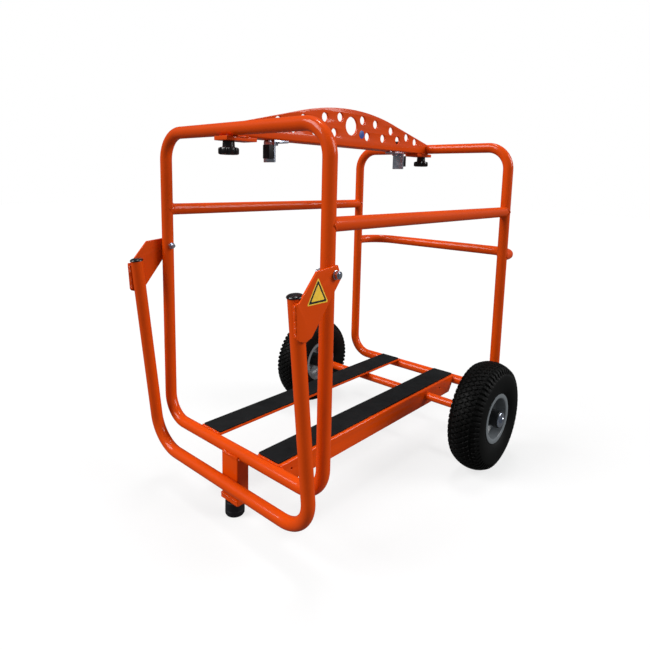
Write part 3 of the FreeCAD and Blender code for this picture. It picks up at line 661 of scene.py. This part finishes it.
# ---- foot -------------------------------------------------------------------------------------
def add_foot():
    low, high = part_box("leg_tube")
    wall = 2.5 * MM
    outline = rectangle(low.x, high.x, low.y, high.y, 2.5 * MM)
    bore = rectangle(low.x + wall, high.x - wall, low.y + wall, high.y - wall, 1.0 * MM)
    painted("leg_post", plate(outline, [bore], "XY", low.z, high.z, 0.5 * MM), ["leg_tube"])
    seat_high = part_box("foot_plate")[1]
    seat = slab("foot_plate", 2.0 * MM, 0.9 * MM)
    painted("foot_seat", seat, ["foot_plate"])
    base = [Vector((x, y, seat_high.z + 0.4 * MM)) for x, y in rectangle(low.x, high.x, low.y, high.y)]
    beads = [bead(base, 2.4 * MM, True, 11)]
    for x, radius in ((low.x + 3.2 * MM, 3.7 * MM), (high.x + 0.4 * MM, 2.4 * MM)):
        ends = [Vector((x, y, high.z + 0.2 * MM)) for y in (low.y + 0.5 * MM, high.y - 0.5 * MM)]
        beads.append(bead(ends, radius, seed=12))
    reach = TUBE_R * 1.04
    under = [math.radians(198.0 + 9.0 * step) for step in range(17)]
    for y in (low.y - 0.2 * MM, high.y + 0.2 * MM):
        arc = [Vector((FRONT_X + reach * math.cos(a), y, HOOP_LOW + reach * math.sin(a))) for a in under]
        beads.append(bead(arc, 2.6 * MM, seed=13))
    painted("foot_welds", merged(beads, "foot_welds"))
    foot_low, foot_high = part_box("rubber_foot")
    radius = (foot_high.x - foot_low.x) / 2.0 / MM
    height = foot_high.z / MM
    profile = [(0.0, 0.0), (radius - 4.0, 0.0), (radius - 1.2, 0.8), (radius - 0.2, 2.6), (radius, 5.0),
               (radius, 11.0), (radius - 0.7, 12.0), (radius - 0.7, 13.0), (radius - 0.1, 14.0),
               (radius - 0.3, height - 2.0), (radius - 1.4, height - 0.4), (0.0, height - 0.05)]
    centre = Vector((middle("rubber_foot").x, 0.0, 0.0))
    block = lathe(in_mm(profile), centre, (0, 0, 1), 96)
    piece("rubber_foot_block", block, "frame", MOULDED, ["rubber_foot"])
    bolt = middle("foot_bolt")
    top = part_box("foot_bolt")[1].z
    nut = hexagon(Vector((bolt.x, bolt.y, seat_high.z)), (0, 0, 1), 16 * MM, 8 * MM)
    shank = sweep([Vector((bolt.x, bolt.y, seat_high.z)), Vector((bolt.x, bolt.y, top))], 5 * MM, around=32)
    plated("foot_nut", merged([nut, shank], "foot_nut"), "frame", ["foot_bolt"])


# ---- top beam ---------------------------------------------------------------------------------
BEAM_FRONT, BEAM_BACK, BEAM_THICK = -2.0, 38.0, 5.0
BEAM_BOTTOM, BEAM_END, BEAM_END_TOP, BEAM_CREST = 761.5, 7.0, 787.5, 846.4
BEAM_ARC_HALF, BEAM_SLOPE = 180.0, 0.235
BIG_HOLE = (809.0, 21.0)
SMALL_HOLE_R = 10.0
SMALL_HOLES = ((41.0, 825.4), (92.5, 820.5), (159.0, 810.0), (231.0, 799.0), (272.0, 789.0),
               (61.0, 789.0), (124.5, 789.0), (189.0, 789.0))
SLOT_NEAR, SLOT_TRAVEL, SLOT_R, CLAMP_Y = 86.5, 110.0, 4.5, 17.0


def beam_top():
    """The beam's top edge: straight rises to an arched middle."""
    middle_x = LENGTH / 2.0
    shoulder = BEAM_END_TOP + BEAM_SLOPE * (middle_x - BEAM_ARC_HALF - BEAM_END)
    rise = BEAM_CREST - shoulder
    radius = (BEAM_ARC_HALF ** 2 + rise ** 2) / (2.0 * rise)
    half = math.asin(BEAM_ARC_HALF / radius)
    path = [(BEAM_END, BEAM_END_TOP)]
    for step in range(41):
        angle = -half + 2.0 * half * step / 40
        path.append((middle_x + radius * math.sin(angle), BEAM_CREST - radius + radius * math.cos(angle)))
    path.append((LENGTH - BEAM_END, BEAM_END_TOP))
    return path


def add_beam():
    middle_x = LENGTH / 2.0
    outline = [(BEAM_END, BEAM_BOTTOM + 4.2)] + beam_top() + [(LENGTH - BEAM_END, BEAM_BOTTOM + 4.2)]
    holes = [shift_x(circle(middle_x, *BIG_HOLE, 72))]
    for reach, height in SMALL_HOLES:
        for x in (middle_x - reach, middle_x + reach):
            holes.append(shift_x(circle(x, height, SMALL_HOLE_R, 48)))
    web_back, far = BEAM_FRONT + BEAM_THICK, LENGTH - BEAM_END
    web = plate(shift_x(outline), holes, "XZ", (BEAM_FRONT + 0.03) * MM, (web_back - 0.03) * MM, 0.7 * MM)
    turned = bend_strip(BEAM_FRONT, -1, -BEAM_BOTTOM, web_back + 1.5, BEAM_END, far, BEAM_THICK, 4.0, 6.0)
    turned.transform(Matrix.Diagonal((1.0, 1.0, -1.0, 1.0)))
    turned = finish_mesh(turned)
    slots = []
    for start in (SLOT_NEAR, LENGTH - SLOT_NEAR - SLOT_TRAVEL):
        loop = rectangle(start - SLOT_R, start + SLOT_TRAVEL + SLOT_R, CLAMP_Y - SLOT_R, CLAMP_Y + SLOT_R,
                         SLOT_R - 0.01, 12)
        slots.append(shift_x(loop))
    flange = plate(shift_x(rectangle(BEAM_END, far, web_back, BEAM_BACK, 1.0)), slots, "XY",
                   (BEAM_BOTTOM + 0.03) * MM, (BEAM_BOTTOM + BEAM_THICK - 0.03) * MM, 0.7 * MM)
    painted("beam_angle", merged([web, turned, flange], "beam"), ["beam_web", "beam_flange"])

    for node in ("front_beam_foot", "rear_beam_foot"):
        foot = slab(node, 1.5 * MM, 0.9 * MM)
        painted(node + "_plate", foot, [node])
    beads = []
    for low, high in (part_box("front_beam_foot"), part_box("rear_beam_foot")):
        for y in (low.y - 0.2 * MM, high.y + 0.2 * MM):
            run = [Vector((low.x + 22.0 * MM, y, high.z)), Vector((high.x - 22.0 * MM, y, high.z))]
            beads.append(bead(run, 2.0 * MM, seed=15))
    painted("beam_welds", merged(beads, "beam_welds"))


def add_round_sticker():
    low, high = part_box("round_sticker")
    centre = middle("round_sticker")
    radius = (high.x - low.x) / 2.0
    disc = plate(circle(centre.x, centre.z, radius, 64), [], "XZ", low.y, high.y, 0.1 * MM)
    piece("blue_disc", disc, "frame", BLUE, ["round_sticker"])


# ---- knobs ------------------------------------------------------------------------------------
KNOB_LOBES = 8


def scallop(radius_full, depth, lobes, starts_at):
    """Finger hollows round a grip: a radius law for lathe()."""
    def radius_at(angle, radius):
        if radius < starts_at:
            return radius
        hollow = max(0.0, math.cos(lobes * angle)) ** 1.4
        share = (radius - starts_at) / (radius_full - starts_at)
        return radius - depth * hollow * share
    return radius_at


def threads(radius, low, high, centre, pitch=1.25 * MM):
    """A threaded rod upward from low to high, with its ridges as rings."""
    profile = [(0.0, low), (radius - 0.4 * MM, low)]
    z = low + 0.5 * MM
    while z + pitch < high:
        profile += [(radius - 0.45 * MM, z), (radius, z + 0.45 * pitch), (radius, z + 0.55 * pitch)]
        z += pitch
    profile += [(radius - 0.4 * MM, high), (0.0, high)]
    return lathe(profile, centre, (0, 0, 1), 32)


def add_knobs():
    for end in ("front", "rear"):
        low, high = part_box(end + "_knob_grip")
        body = end + "_knob"
        centre = middle(end + "_knob_grip")
        centre.z = 0.0
        base, top = low.z / MM, high.z / MM
        full = (high.x - low.x) / 2.0 / MM
        hub = 11.5
        rim = base + 13.5
        profile = [(0.0, base + 1.2), (9.0, base + 1.2), (10.5, base + 0.2), (full - 3.0, base),
                   (full - 1.0, base + 0.8), (full, base + 2.8), (full, rim - 3.2), (full - 1.0, rim - 1.0),
                   (full - 3.2, rim), (hub + 1.6, rim + 0.2), (hub + 0.3, rim + 1.6), (hub - 0.3, top - 1.0),
                   (hub - 1.2, top), (5.0, top), (5.0, top - 2.0), (0.0, top - 2.0)]
        fingers = scallop(full * MM, 2.6 * MM, KNOB_LOBES, (hub + 1.0) * MM)
        grip = lathe(in_mm(profile), centre, (0, 0, 1), 192, fingers)
        piece(end + "_knob_star", grip, body, PLASTIC, [end + "_knob_grip"])
        low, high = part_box(end + "_knob_stud")
        plated(end + "_knob_thread", threads(4.0 * MM, low.z, high.z, centre), body, [end + "_knob_stud"])
        insert_low, insert_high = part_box(end + "_knob_insert")
        wide, body_r, bore = (insert_high.x - insert_low.x) / 2.0, 5.5 * MM, 4.1 * MM
        start = insert_low.z
        profile = [(bore, start), (wide - 0.3 * MM, start), (wide, start + 0.3 * MM),
                   (wide, start + 0.9 * MM), (body_r, start + 1.0 * MM), (body_r, insert_high.z),
                   (bore, insert_high.z)]
        plated(end + "_insert_ring", lathe(profile, centre, (0, 0, 1), 48), "frame", [end + "_knob_insert"])


# ---- sliding hooks ----------------------------------------------------------------------------
def add_hooks():
    for end, inward in (("front", 1), ("rear", -1)):
        body = end + "_hook"
        low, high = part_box(end + "_hook_bracket")
        thick = 4.5 * MM
        outer, inner = (low.x, high.x) if inward > 0 else (high.x, low.x)
        step = inward * thick
        corners = [Vector(corner) for corner in (
            (outer, low.z), (outer, high.z), (inner, high.z), (inner, high.z - thick),
            (outer + step, high.z - thick), (outer + step, low.z))]
        outline = []
        for i, corner in enumerate(corners):
            bend = 4.0 * MM if i == 1 else 0.6 * MM
            start = corner - (corner - corners[i - 1]).normalized() * bend
            stop = corner + (corners[(i + 1) % 6] - corner).normalized() * bend
            for share in (part / 6.0 for part in range(7)):
                point = start * (1 - share) ** 2 + corner * 2 * share * (1 - share) + stop * share ** 2
                outline.append(tuple(point))
        plate_mesh = plate(outline, [], "XZ", low.y, high.y, 0.5 * MM)
        plated(end + "_hook_plate", plate_mesh, body, [end + "_hook_bracket"])
        block = slab(end + "_hook_block", 1.2 * MM, 1.0 * MM)
        piece(end + "_hook_buffer", block, body, MOULDED, [end + "_hook_block"])

        low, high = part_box(end + "_clamp_screw")
        centre = middle(end + "_clamp_screw")
        base = Vector((centre.x, centre.y, 0.0))
        head = hexagon(Vector((centre.x, centre.y, low.z + 5.3 * MM)), (0, 0, -1), 13 * MM, 5.3 * MM)
        rod = threads(4.0 * MM, low.z + 5.0 * MM, high.z, base)
        plated(end + "_clamp_bolt", merged([head, rod], "clamp_bolt"), body, [end + "_clamp_screw"])
        low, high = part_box(end + "_clamp_knob")
        full = (high.x - low.x) / 2.0 / MM
        hub = 0.7 * full
        under, top = low.z / MM, high.z / MM
        waist = under + 8.0
        profile = [(4.2, under), (hub - 0.6, under), (hub, under + 0.6), (hub, waist - 0.6),
                   (full - 1.4, waist), (full, waist + 1.6), (full, top - 2.2), (full - 0.8, top - 0.7),
                   (full - 2.4, top),
                   (0.0, top - 0.8), (0.0, top - 4.0), (4.2, top - 4.0)]
        fingers = scallop(full * MM, 1.7 * MM, KNOB_LOBES, 0.75 * full * MM)
        grip = lathe(in_mm(profile), base, (0, 0, 1), 160, fingers)
        piece(end + "_clamp_grip", grip, end + "_clamp", PLASTIC, [end + "_clamp_knob"])


# ---- pull handle ------------------------------------------------------------------------------
HANDLE_HALF = 238.5
HANDLE_TOP, HANDLE_LOW = (-75.0, 505.5), (-29.9, 78.0)
PIVOT_Z, PIVOT_TAIL = 533.5, 12.0 * MM
BRACKET_Y, BRACKET_THICK = 250.8, 4.6
BRACKET_OUTLINE = ((-87.2, 499.5), (-84.0, 443.0), (-81.0, 439.5), (-66.8, 435.0), (-53.0, 440.5),
                   (14.5, 526.0), (5.5, 549.0), (-43.5, 544.0), (-72.0, 510.5), (-81.5, 499.5))

# radius and height of a handle cap's domed skin
CAP_PROFILE = ((0.0, 5.0), (4.5, 4.95), (8.5, 4.6), (11.2, 3.9), (13.0, 2.7), (13.9, 1.2), (14.0, 0.5),
               (13.7, 0.0), (0.0, -0.5))


def add_pull_handle():
    top, low = ([at(x, side * HANDLE_HALF, z) for side in (-1, 1)] for x, z in (HANDLE_TOP, HANDLE_LOW))
    path = rounded([top[0], low[0], low[1], top[1]], HANDLE_BEND)
    painted("pull_handle_bar", sweep(path, TUBE_R), ["pull_handle_tube"], body="pull_handle")
    down = (low[0] - top[0]).normalized()
    beads, caps = [], []
    for (side, sign), leg_top in zip(SIDES, top):
        y0, y1 = sorted((sign * BRACKET_Y * MM, sign * (BRACKET_Y + BRACKET_THICK) * MM))
        bolt_hole = shift_x(circle(0.0, PIVOT_Z, 4.05, 32))
        arm = plate(shift_x(soft_corners(BRACKET_OUTLINE, 0.9, 3)), [bolt_hole], "XZ", y0, y1, 0.7 * MM)
        painted("handle_arm_" + side, arm, ["handle_bracket_" + side], body="pull_handle")
        y = sign * (BRACKET_Y + 0.4) * MM
        front = [at(-86.6, 0, 497.0), at(-82.6, 0, 444.0)]
        rear = [at(-63.0, 0, 497.0), at(-56.0, 0, 447.0)]
        inner = [point + Vector((1.6 * MM, 0.0, 0.0)) for point in front]
        for run, depth, radius in ((front, y, 2.4), (inner, sign * (BRACKET_Y - 3.0) * MM, 3.2),
                                   (rear, sign * (BRACKET_Y - 0.6) * MM, 2.6)):
            line = [Vector((p.x, depth, p.z)) for p in run]
            beads.append(bead(line, radius * MM, seed=21))
        caps.append(lathe(in_mm(CAP_PROFILE), leg_top, -down, 72))
    painted("handle_arm_welds", merged(beads, "handle_arm_welds"), body="pull_handle")
    piece("handle_end_caps", merged(caps, "handle_end_caps"), "pull_handle", PLASTIC,
          ["handle_caps"])
    add_triangle()


def add_triangle():
    """A plain yellow triangle with a dark border."""
    low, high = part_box("triangle_sticker")
    height = high.z - low.z
    corners = [(low.x, low.z), (high.x, low.z), ((low.x + high.x) / 2.0, high.z)]
    centre = Vector((corners[2][0], low.z + height / 3.0))
    layers = (("yellow_triangle", 1.0, YELLOW, ["triangle_sticker"], 0.20 * MM),
              ("triangle_border", 0.865, BLACK_PRINT, [], 0.10 * MM),
              ("triangle_field", 0.63, YELLOW, [], 0.0))
    for name, share, material, nodes, sunk in layers:
        shape = [tuple(centre + (Vector(corner) - centre) * share) for corner in corners]
        sheet = plate(soft_corners(shape, 1.6 * MM * share), [], "XZ", low.y + sunk, high.y, 0.02 * MM)
        piece(name, sheet, "pull_handle", material, nodes)


def add_pivots():
    bolts, washers, nuts = [], [], []
    pivot = at(0.0, 0.0, PIVOT_Z)
    head_y = POST_Y - TUBE_R
    for _, sign in SIDES:
        out = Vector((0.0, sign, 0.0))
        bolts.append(hexagon(pivot + out * head_y, -out, 13 * MM, 5.3 * MM))
        start, end = head_y - PIVOT_TAIL, (BRACKET_Y + BRACKET_THICK + 10.0) * MM
        bolts.append(washer(0.0, 4.0 * MM, start, end, (0.6 * MM, 0.6 * MM), pivot, out, 32))
        outer = (BRACKET_Y + BRACKET_THICK + 0.3) * MM
        for start, stop in ((POST_Y + TUBE_R - 1.5 * MM, (BRACKET_Y - 0.3) * MM), (outer, outer + 1.6 * MM)):
            washers.append(washer(4.1 * MM, 8.0 * MM, start, stop, (0.3 * MM, 0.2 * MM), pivot, out, 48))
        nuts.append(hexagon(pivot + out * (outer + 1.6 * MM), out, 13 * MM, 6.8 * MM, bore=4.0 * MM))
    plated("pivot_bolt_set", merged(bolts, "pivot_bolts"), "frame", ["pivot_bolts"])
    plated("pivot_washer_set", merged(washers, "pivot_washers"), "frame", ["pivot_washers"])
    plated("pivot_nut_set", merged(nuts, "pivot_nuts"), "frame", ["pivot_nuts"])


# ---- axle and wheels --------------------------------------------------------------------------
WHEEL_Y = abs(middle("tyre_left").y) / MM
TREAD_LUGS = 60
TREAD_R = 125.0                # radius at which the tread's pitch is measured
SIDE_R = 92.0                  # radius at which the cover is widest
VALVE_FOOT_R, VALVE_TIP_R = 64.0, 31.0
# radius and distance from the wheel's middle, in mm
RIM_PROFILE = ((20.0, 0.0), (40.4, 0.0), (42.0, 0.5), (50.0, 6.3), (50.8, 7.8), (50.8, 29.2), (51.4, 30.8),
               (53.0, 31.5), (58.8, 31.5), (59.7, 31.9), (60.0, 32.5), (59.6, 33.2), (58.6, 33.5),
               (52.4, 33.5), (50.6, 33.0), (49.2, 31.8), (48.8, 30.2), (48.8, 8.4), (48.0, 7.2), (41.2, 2.4),
               (39.8, 2.0), (20.0, 2.0))
HUB_PROFILE = ((17.5, -39.5), (19.4, -39.5), (20.0, -38.9), (20.0, 38.9), (19.4, 39.5), (17.5, 39.5))
BEARING_PROFILE = ((10.06, 27.5), (17.45, 27.5), (17.45, 39.3), (16.2, 39.45), (16.0, 38.6), (12.0, 38.6),
                   (11.8, 39.45), (10.06, 39.3))


def add_axle():
    low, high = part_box("axle")
    ends = [Vector((AXLE.x, low.y, AXLE.z)), Vector((AXLE.x, high.y, AXLE.z))]
    painted("axle_bar", sweep(ends, AXLE_R), ["axle"])
    collars, washers, bolts = [], [], []
    collar_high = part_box("axle_collars")[1]
    washer_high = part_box("axle_washers")[1]
    bolt_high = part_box("axle_bolts")[1]
    for _, sign in SIDES:
        out = (0, sign, 0)
        centre = Vector((AXLE.x, 0.0, AXLE.z))
        start, stop = collar_high.y - 8.0 * MM, collar_high.y
        collars.append(washer(AXLE_R, 15 * MM, start, stop, (0.6 * MM, 0.6 * MM), centre, out, 64))
        start, stop = washer_high.y - 2.5 * MM, washer_high.y
        washers.append(washer(3.0 * MM, 18 * MM, start, stop, (0.4 * MM, 0.4 * MM), centre, out, 64))
        bolts.append(hexagon(Vector((AXLE.x, sign * stop, AXLE.z)), out, 13 * MM, bolt_high.y - stop))
    plated("axle_collar_set", merged(collars, "axle_collars"), "frame", ["axle_collars"])
    plated("axle_washer_set", merged(washers, "axle_washers"), "frame", ["axle_washers"])
    plated("axle_bolt_set", merged(bolts, "axle_bolts"), "frame", ["axle_bolts"])


def arc_through(start, middle_point, end, steps):
    """Points along the circle through three points of a section."""
    (ax, ay), (bx, by), (cx, cy) = start, middle_point, end
    d = 2.0 * (ax * (by - cy) + bx * (cy - ay) + cx * (ay - by))
    a2, b2, c2 = ax * ax + ay * ay, bx * bx + by * by, cx * cx + cy * cy
    ux = (a2 * (by - cy) + b2 * (cy - ay) + c2 * (ay - by)) / d
    uy = (a2 * (cx - bx) + b2 * (ax - cx) + c2 * (bx - ax)) / d
    radius = math.hypot(ax - ux, ay - uy)
    angles = [math.atan2(y - uy, x - ux) for x, y in (start, middle_point, end)]
    sweep_angle = angles[2] - angles[0]
    if (angles[1] - angles[0]) * sweep_angle < 0 or abs(angles[1] - angles[0]) > abs(sweep_angle):
        sweep_angle += -2.0 * math.pi if sweep_angle > 0 else 2.0 * math.pi
    return [(ux + radius * math.cos(angles[0] + sweep_angle * i / steps),
             uy + radius * math.sin(angles[0] + sweep_angle * i / steps)) for i in range(steps + 1)]


def tyre_section():
    """The cover's outer line from the outer bead over the crown to the inner bead: (radius, y) in mm."""
    side = arc_through((61.2, 31.6), (92.0, 39.7), (119.0, 33.4), 34)
    crown = arc_through((119.0, 33.4), (130.0, 0.0), (119.0, -33.4), 72)
    other = [(radius, -y) for radius, y in reversed(side)]
    return side + crown[1:-1] + other


def tread_cut(around_mm, radius, y):
    """Depth of the tread's grooves at a place on the cover, in mm. Two families of slanting grooves
    leave small blocks, and wide notches open at the shoulders."""
    pitch = 2.0 * math.pi * TREAD_R / TREAD_LUGS
    edge = abs(y)

    def groove(value, width):
        near = pitch / 2.0 - abs((value / pitch) % 1.0 - 0.5) * pitch
        return max(0.0, 1.0 - max(0.0, near - width / 2.0) / 0.8)

    slant = 0.62
    if edge < 24.0 and radius > 118.0:
        return 2.8 * max(groove(around_mm + slant * y, 2.2), groove(around_mm - slant * y, 2.2))
    if edge < 26.6 and radius > 118.0:
        return 2.0
    fade = max(0.0, min(1.0, (radius - 106.0) / 6.0))
    return fade * (3.6 * groove(around_mm + pitch / 2.0, 4.6))


def tyre_mesh(centre, sign):
    around = TREAD_LUGS * 16
    section = tyre_section()
    angles = [2.0 * math.pi * step / around for step in range(around)]
    normals = []
    for i, (radius, y) in enumerate(section):
        before = section[max(0, i - 1)]
        after = section[min(len(section) - 1, i + 1)]
        run = Vector((after[0] - before[0], after[1] - before[1])).normalized()
        normals.append((-run.y, run.x) if (run.y * y <= 0) == (i > 0) else (run.y, -run.x))
    vertices, faces = [], []

    def place(angle, radius, y):
        vertices.append(Vector((radius * math.cos(angle), y * sign, radius * math.sin(angle))) * MM + centre)

    for (radius, y), (nr, ny) in zip(section, normals):
        if nr * (radius - SIDE_R) + ny * y < 0:
            nr, ny = -nr, -ny
        for angle in angles:
            cut = tread_cut(angle * TREAD_R, radius, y)
            place(angle, radius - nr * cut, y - ny * cut)
    hollow = arc_through((57.0, -22.0), (92.0, -34.4), (113.0, -28.0), 10)
    hollow += arc_through((113.0, -28.0), (122.4, 0.0), (113.0, 28.0), 12)[1:-1]
    hollow += arc_through((113.0, 28.0), (92.0, 34.4), (57.0, 22.0), 10)
    bead_seat = [(53.4, -31.2), (51.2, -28.8), (51.2, -22.0)]
    inner = bead_seat + hollow + [(radius, -y) for radius, y in reversed(bead_seat)]
    for radius, y in inner:
        for angle in angles:
            place(angle, radius, y)
    count = len(section) + len(inner)
    for i in range(count):
        first, second = i * around, (i + 1) % count * around
        for step in range(around):
            after = (step + 1) % around
            faces.append((first + step, first + after, second + after, second + step))
    return mesh_from(vertices, faces, sharp=40.0)


def add_wheels():
    for side, sign in SIDES:
        body = "wheel_" + side
        centre = Vector((AXLE.x, sign * WHEEL_Y * MM, AXLE.z))
        out = (0, sign, 0)
        piece("tyre_cover_" + side, tyre_mesh(centre, sign), body, TYRE, ["tyre_" + side])
        for node, away in (("rim_outer_", 1), ("rim_inner_", -1)):
            rim = lathe(in_mm(RIM_PROFILE), centre, (0, sign * away, 0), 128)
            piece(node + "disc_" + side, rim, body, GREY, [node + side])
        piece("hub_barrel_" + side, lathe(in_mm(HUB_PROFILE), centre, out, 96), body, HUB,
              ["hub_tube_" + side])
        shields = []
        for away in (1, -1):
            shields.append(lathe(in_mm(BEARING_PROFILE), centre, (0, sign * away, 0), 96))
        piece("bearing_rings_" + side, merged(shields, "bearings"), body, STEEL,
              ["bearings_" + side])
        bolts = []
        for quarter in range(4):
            angle = math.radians(45.0 + 90.0 * quarter)
            place = centre + Vector((math.cos(angle), 0.0, math.sin(angle))) * 31.0 * MM
            bolts.append(hexagon(place + Vector(out) * 2.0 * MM, out, 10 * MM, 4 * MM))
            bolts.append(hexagon(place - Vector(out) * 2.0 * MM, (0, -sign, 0), 10 * MM, 5 * MM))
        plated("rim_bolt_set_" + side, merged(bolts, "rim_bolts"), body, ["rim_bolts_" + side])
        low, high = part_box("valve_stem_" + side)
        start = Vector((high.x - 4.0 * MM, (low.y + high.y) / 2.0, high.z - 4.0 * MM))
        on_axis = Vector((centre.x, start.y, centre.z))
        inward = (on_axis - start).normalized()
        foot = on_axis - inward * VALVE_FOOT_R * MM
        length = VALVE_FOOT_R - VALVE_TIP_R
        rubber_end = length - 10.0
        profile = [(0.0, 0.0), (4.0, 0.0), (4.0, rubber_end - 1.0), (3.4, rubber_end), (0.0, rubber_end)]
        stem = lathe(in_mm(profile), foot, inward, 40)
        piece("valve_" + side, stem, body, MOULDED, ["valve_stem_" + side])
        profile = [(0.0, rubber_end - 0.4), (3.0, rubber_end - 0.4), (3.0, length - 5.0), (3.6, length - 4.6),
                   (3.6, length - 0.8), (2.8, length), (0.0, length)]
        plated("valve_tip_" + side, lathe(in_mm(profile), foot, inward, 40), body)


def finish_inner_tubes():
    """The inner tubes stay as packed, inside the covers, with a rubber of their own."""
    for side, _ in SIDES:
        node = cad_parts["inner_tube_" + side]
        for slot in node.material_slots:
            slot.material = MOULDED


# ---- stage, light and camera ------------------------------------------------------------------
FLOOR_GLOW = 0.74
ROOM_LIGHT = 0.28
MIRRORED_ROOM = 0.10
PAPER = 1.0
FLOOR_REACH = 12.0
FLOOR_DROP = 0.0002
CAMERA_PLACE = (-632.6, -795.9, 683.5)
CAMERA_LENS, CAMERA_SENSOR = 29.157, 36.0
CAMERA_SHIFT = (0.00243, -0.1032)
CAMERA_YAW, CAMERA_PITCH, CAMERA_ROLL = 41.92, -8.4, 1.23
LAMPS = (("left_lamp", (-1.0, 0.55, 0.9), 2.9, 35.0), ("right_lamp", (0.9, -1.2, 0.8), 2.4, 35.0),
         ("top_lamp", (0.12, 0.1, 1.0), 1.0, 14.0))


def add_floor():
    mesh = bpy.data.meshes.new("floor")
    corners = ((-1, -1), (1, -1), (1, 1), (-1, 1))
    vertices = [(x * FLOOR_REACH, y * FLOOR_REACH, -FLOOR_DROP) for x, y in corners]
    mesh.from_pydata(vertices, [], [(0, 1, 2, 3)])
    floor = bpy.data.objects.new("floor", mesh)
    bpy.context.scene.collection.objects.link(floor)
    n = Nodes("floor_paper")
    tone = n.ramp(n.noise(1.5), [(0.3, (0.188, 0.188, 0.188)), (0.7, (0.196, 0.196, 0.196))])
    mesh.materials.append(n.set(Base_Color=tone, Roughness=1.0, Specular_IOR_Level=0.0,
                                Emission_Color=(1.0, 1.0, 1.0), Emission_Strength=FLOOR_GLOW))
    floor.visible_diffuse = False
    floor.visible_glossy = False


def sun(name, from_side, strength, spread):
    """A soft lamp far away: from_side points towards it and spread is its width in degrees."""
    light = bpy.data.lights.new(name, "SUN")
    light.energy = strength
    light.angle = math.radians(spread)
    lamp = bpy.data.objects.new(name, light)
    lamp.rotation_euler = Vector(from_side).to_track_quat("Z", "Y").to_euler()
    bpy.context.scene.collection.objects.link(lamp)


def add_light():
    """White paper behind the stand, a dim room, dimmer still in reflections, and three soft lamps."""
    world = bpy.data.worlds.new("studio")
    bpy.context.scene.world = world
    world.use_nodes = True
    tree = world.node_tree
    ray = tree.nodes.new("ShaderNodeLightPath")
    light = tree.nodes["Background"].outputs["Background"]
    tree.nodes["Background"].inputs["Color"].default_value = (1.0, 1.0, 1.0, 1.0)
    tree.nodes["Background"].inputs["Strength"].default_value = ROOM_LIGHT
    for seen_by, strength in (("Is Glossy Ray", MIRRORED_ROOM), ("Is Camera Ray", PAPER)):
        white = tree.nodes.new("ShaderNodeBackground")
        white.inputs["Color"].default_value = (1.0, 1.0, 1.0, 1.0)
        white.inputs["Strength"].default_value = strength
        choice = tree.nodes.new("ShaderNodeMixShader")
        tree.links.new(ray.outputs[seen_by], choice.inputs[0])
        tree.links.new(light, choice.inputs[1])
        tree.links.new(white.outputs["Background"], choice.inputs[2])
        light = choice.outputs["Shader"]
    tree.links.new(light, tree.nodes["World Output"].inputs["Surface"])
    for name, from_side, strength, spread in LAMPS:
        sun(name, from_side, strength, spread)
    bpy.context.scene.view_settings.view_transform = "Standard"
    bpy.context.scene.view_settings.look = "None"


def add_camera():
    camera = bpy.data.cameras.new("camera")
    camera.lens = CAMERA_LENS
    camera.sensor_width = CAMERA_SENSOR
    camera.shift_x, camera.shift_y = CAMERA_SHIFT
    yaw, pitch, roll = (math.radians(angle) for angle in (CAMERA_YAW, CAMERA_PITCH, CAMERA_ROLL))
    forward = Vector((math.cos(yaw) * math.cos(pitch), math.sin(yaw) * math.cos(pitch), math.sin(pitch)))
    right = Vector((math.sin(yaw), -math.cos(yaw), 0.0))
    up = right.cross(forward)
    right, up = (right * math.cos(roll) + up * math.sin(roll), up * math.cos(roll) - right * math.sin(roll))
    holder = bpy.data.objects.new("camera", camera)
    turn = Matrix((right, up, -forward)).transposed().to_4x4()
    holder.matrix_world = Matrix.Translation(at(*CAMERA_PLACE)) @ turn
    bpy.context.scene.collection.objects.link(holder)
    bpy.context.scene.camera = holder


add_frame_tubes()
add_tube_welds()
add_bearers()
add_bearer_welds()
add_foot()
add_beam()
add_round_sticker()
add_knobs()
add_hooks()
add_pull_handle()
add_pivots()
add_axle()
add_wheels()
finish_inner_tubes()
add_floor()
add_light()
add_camera()
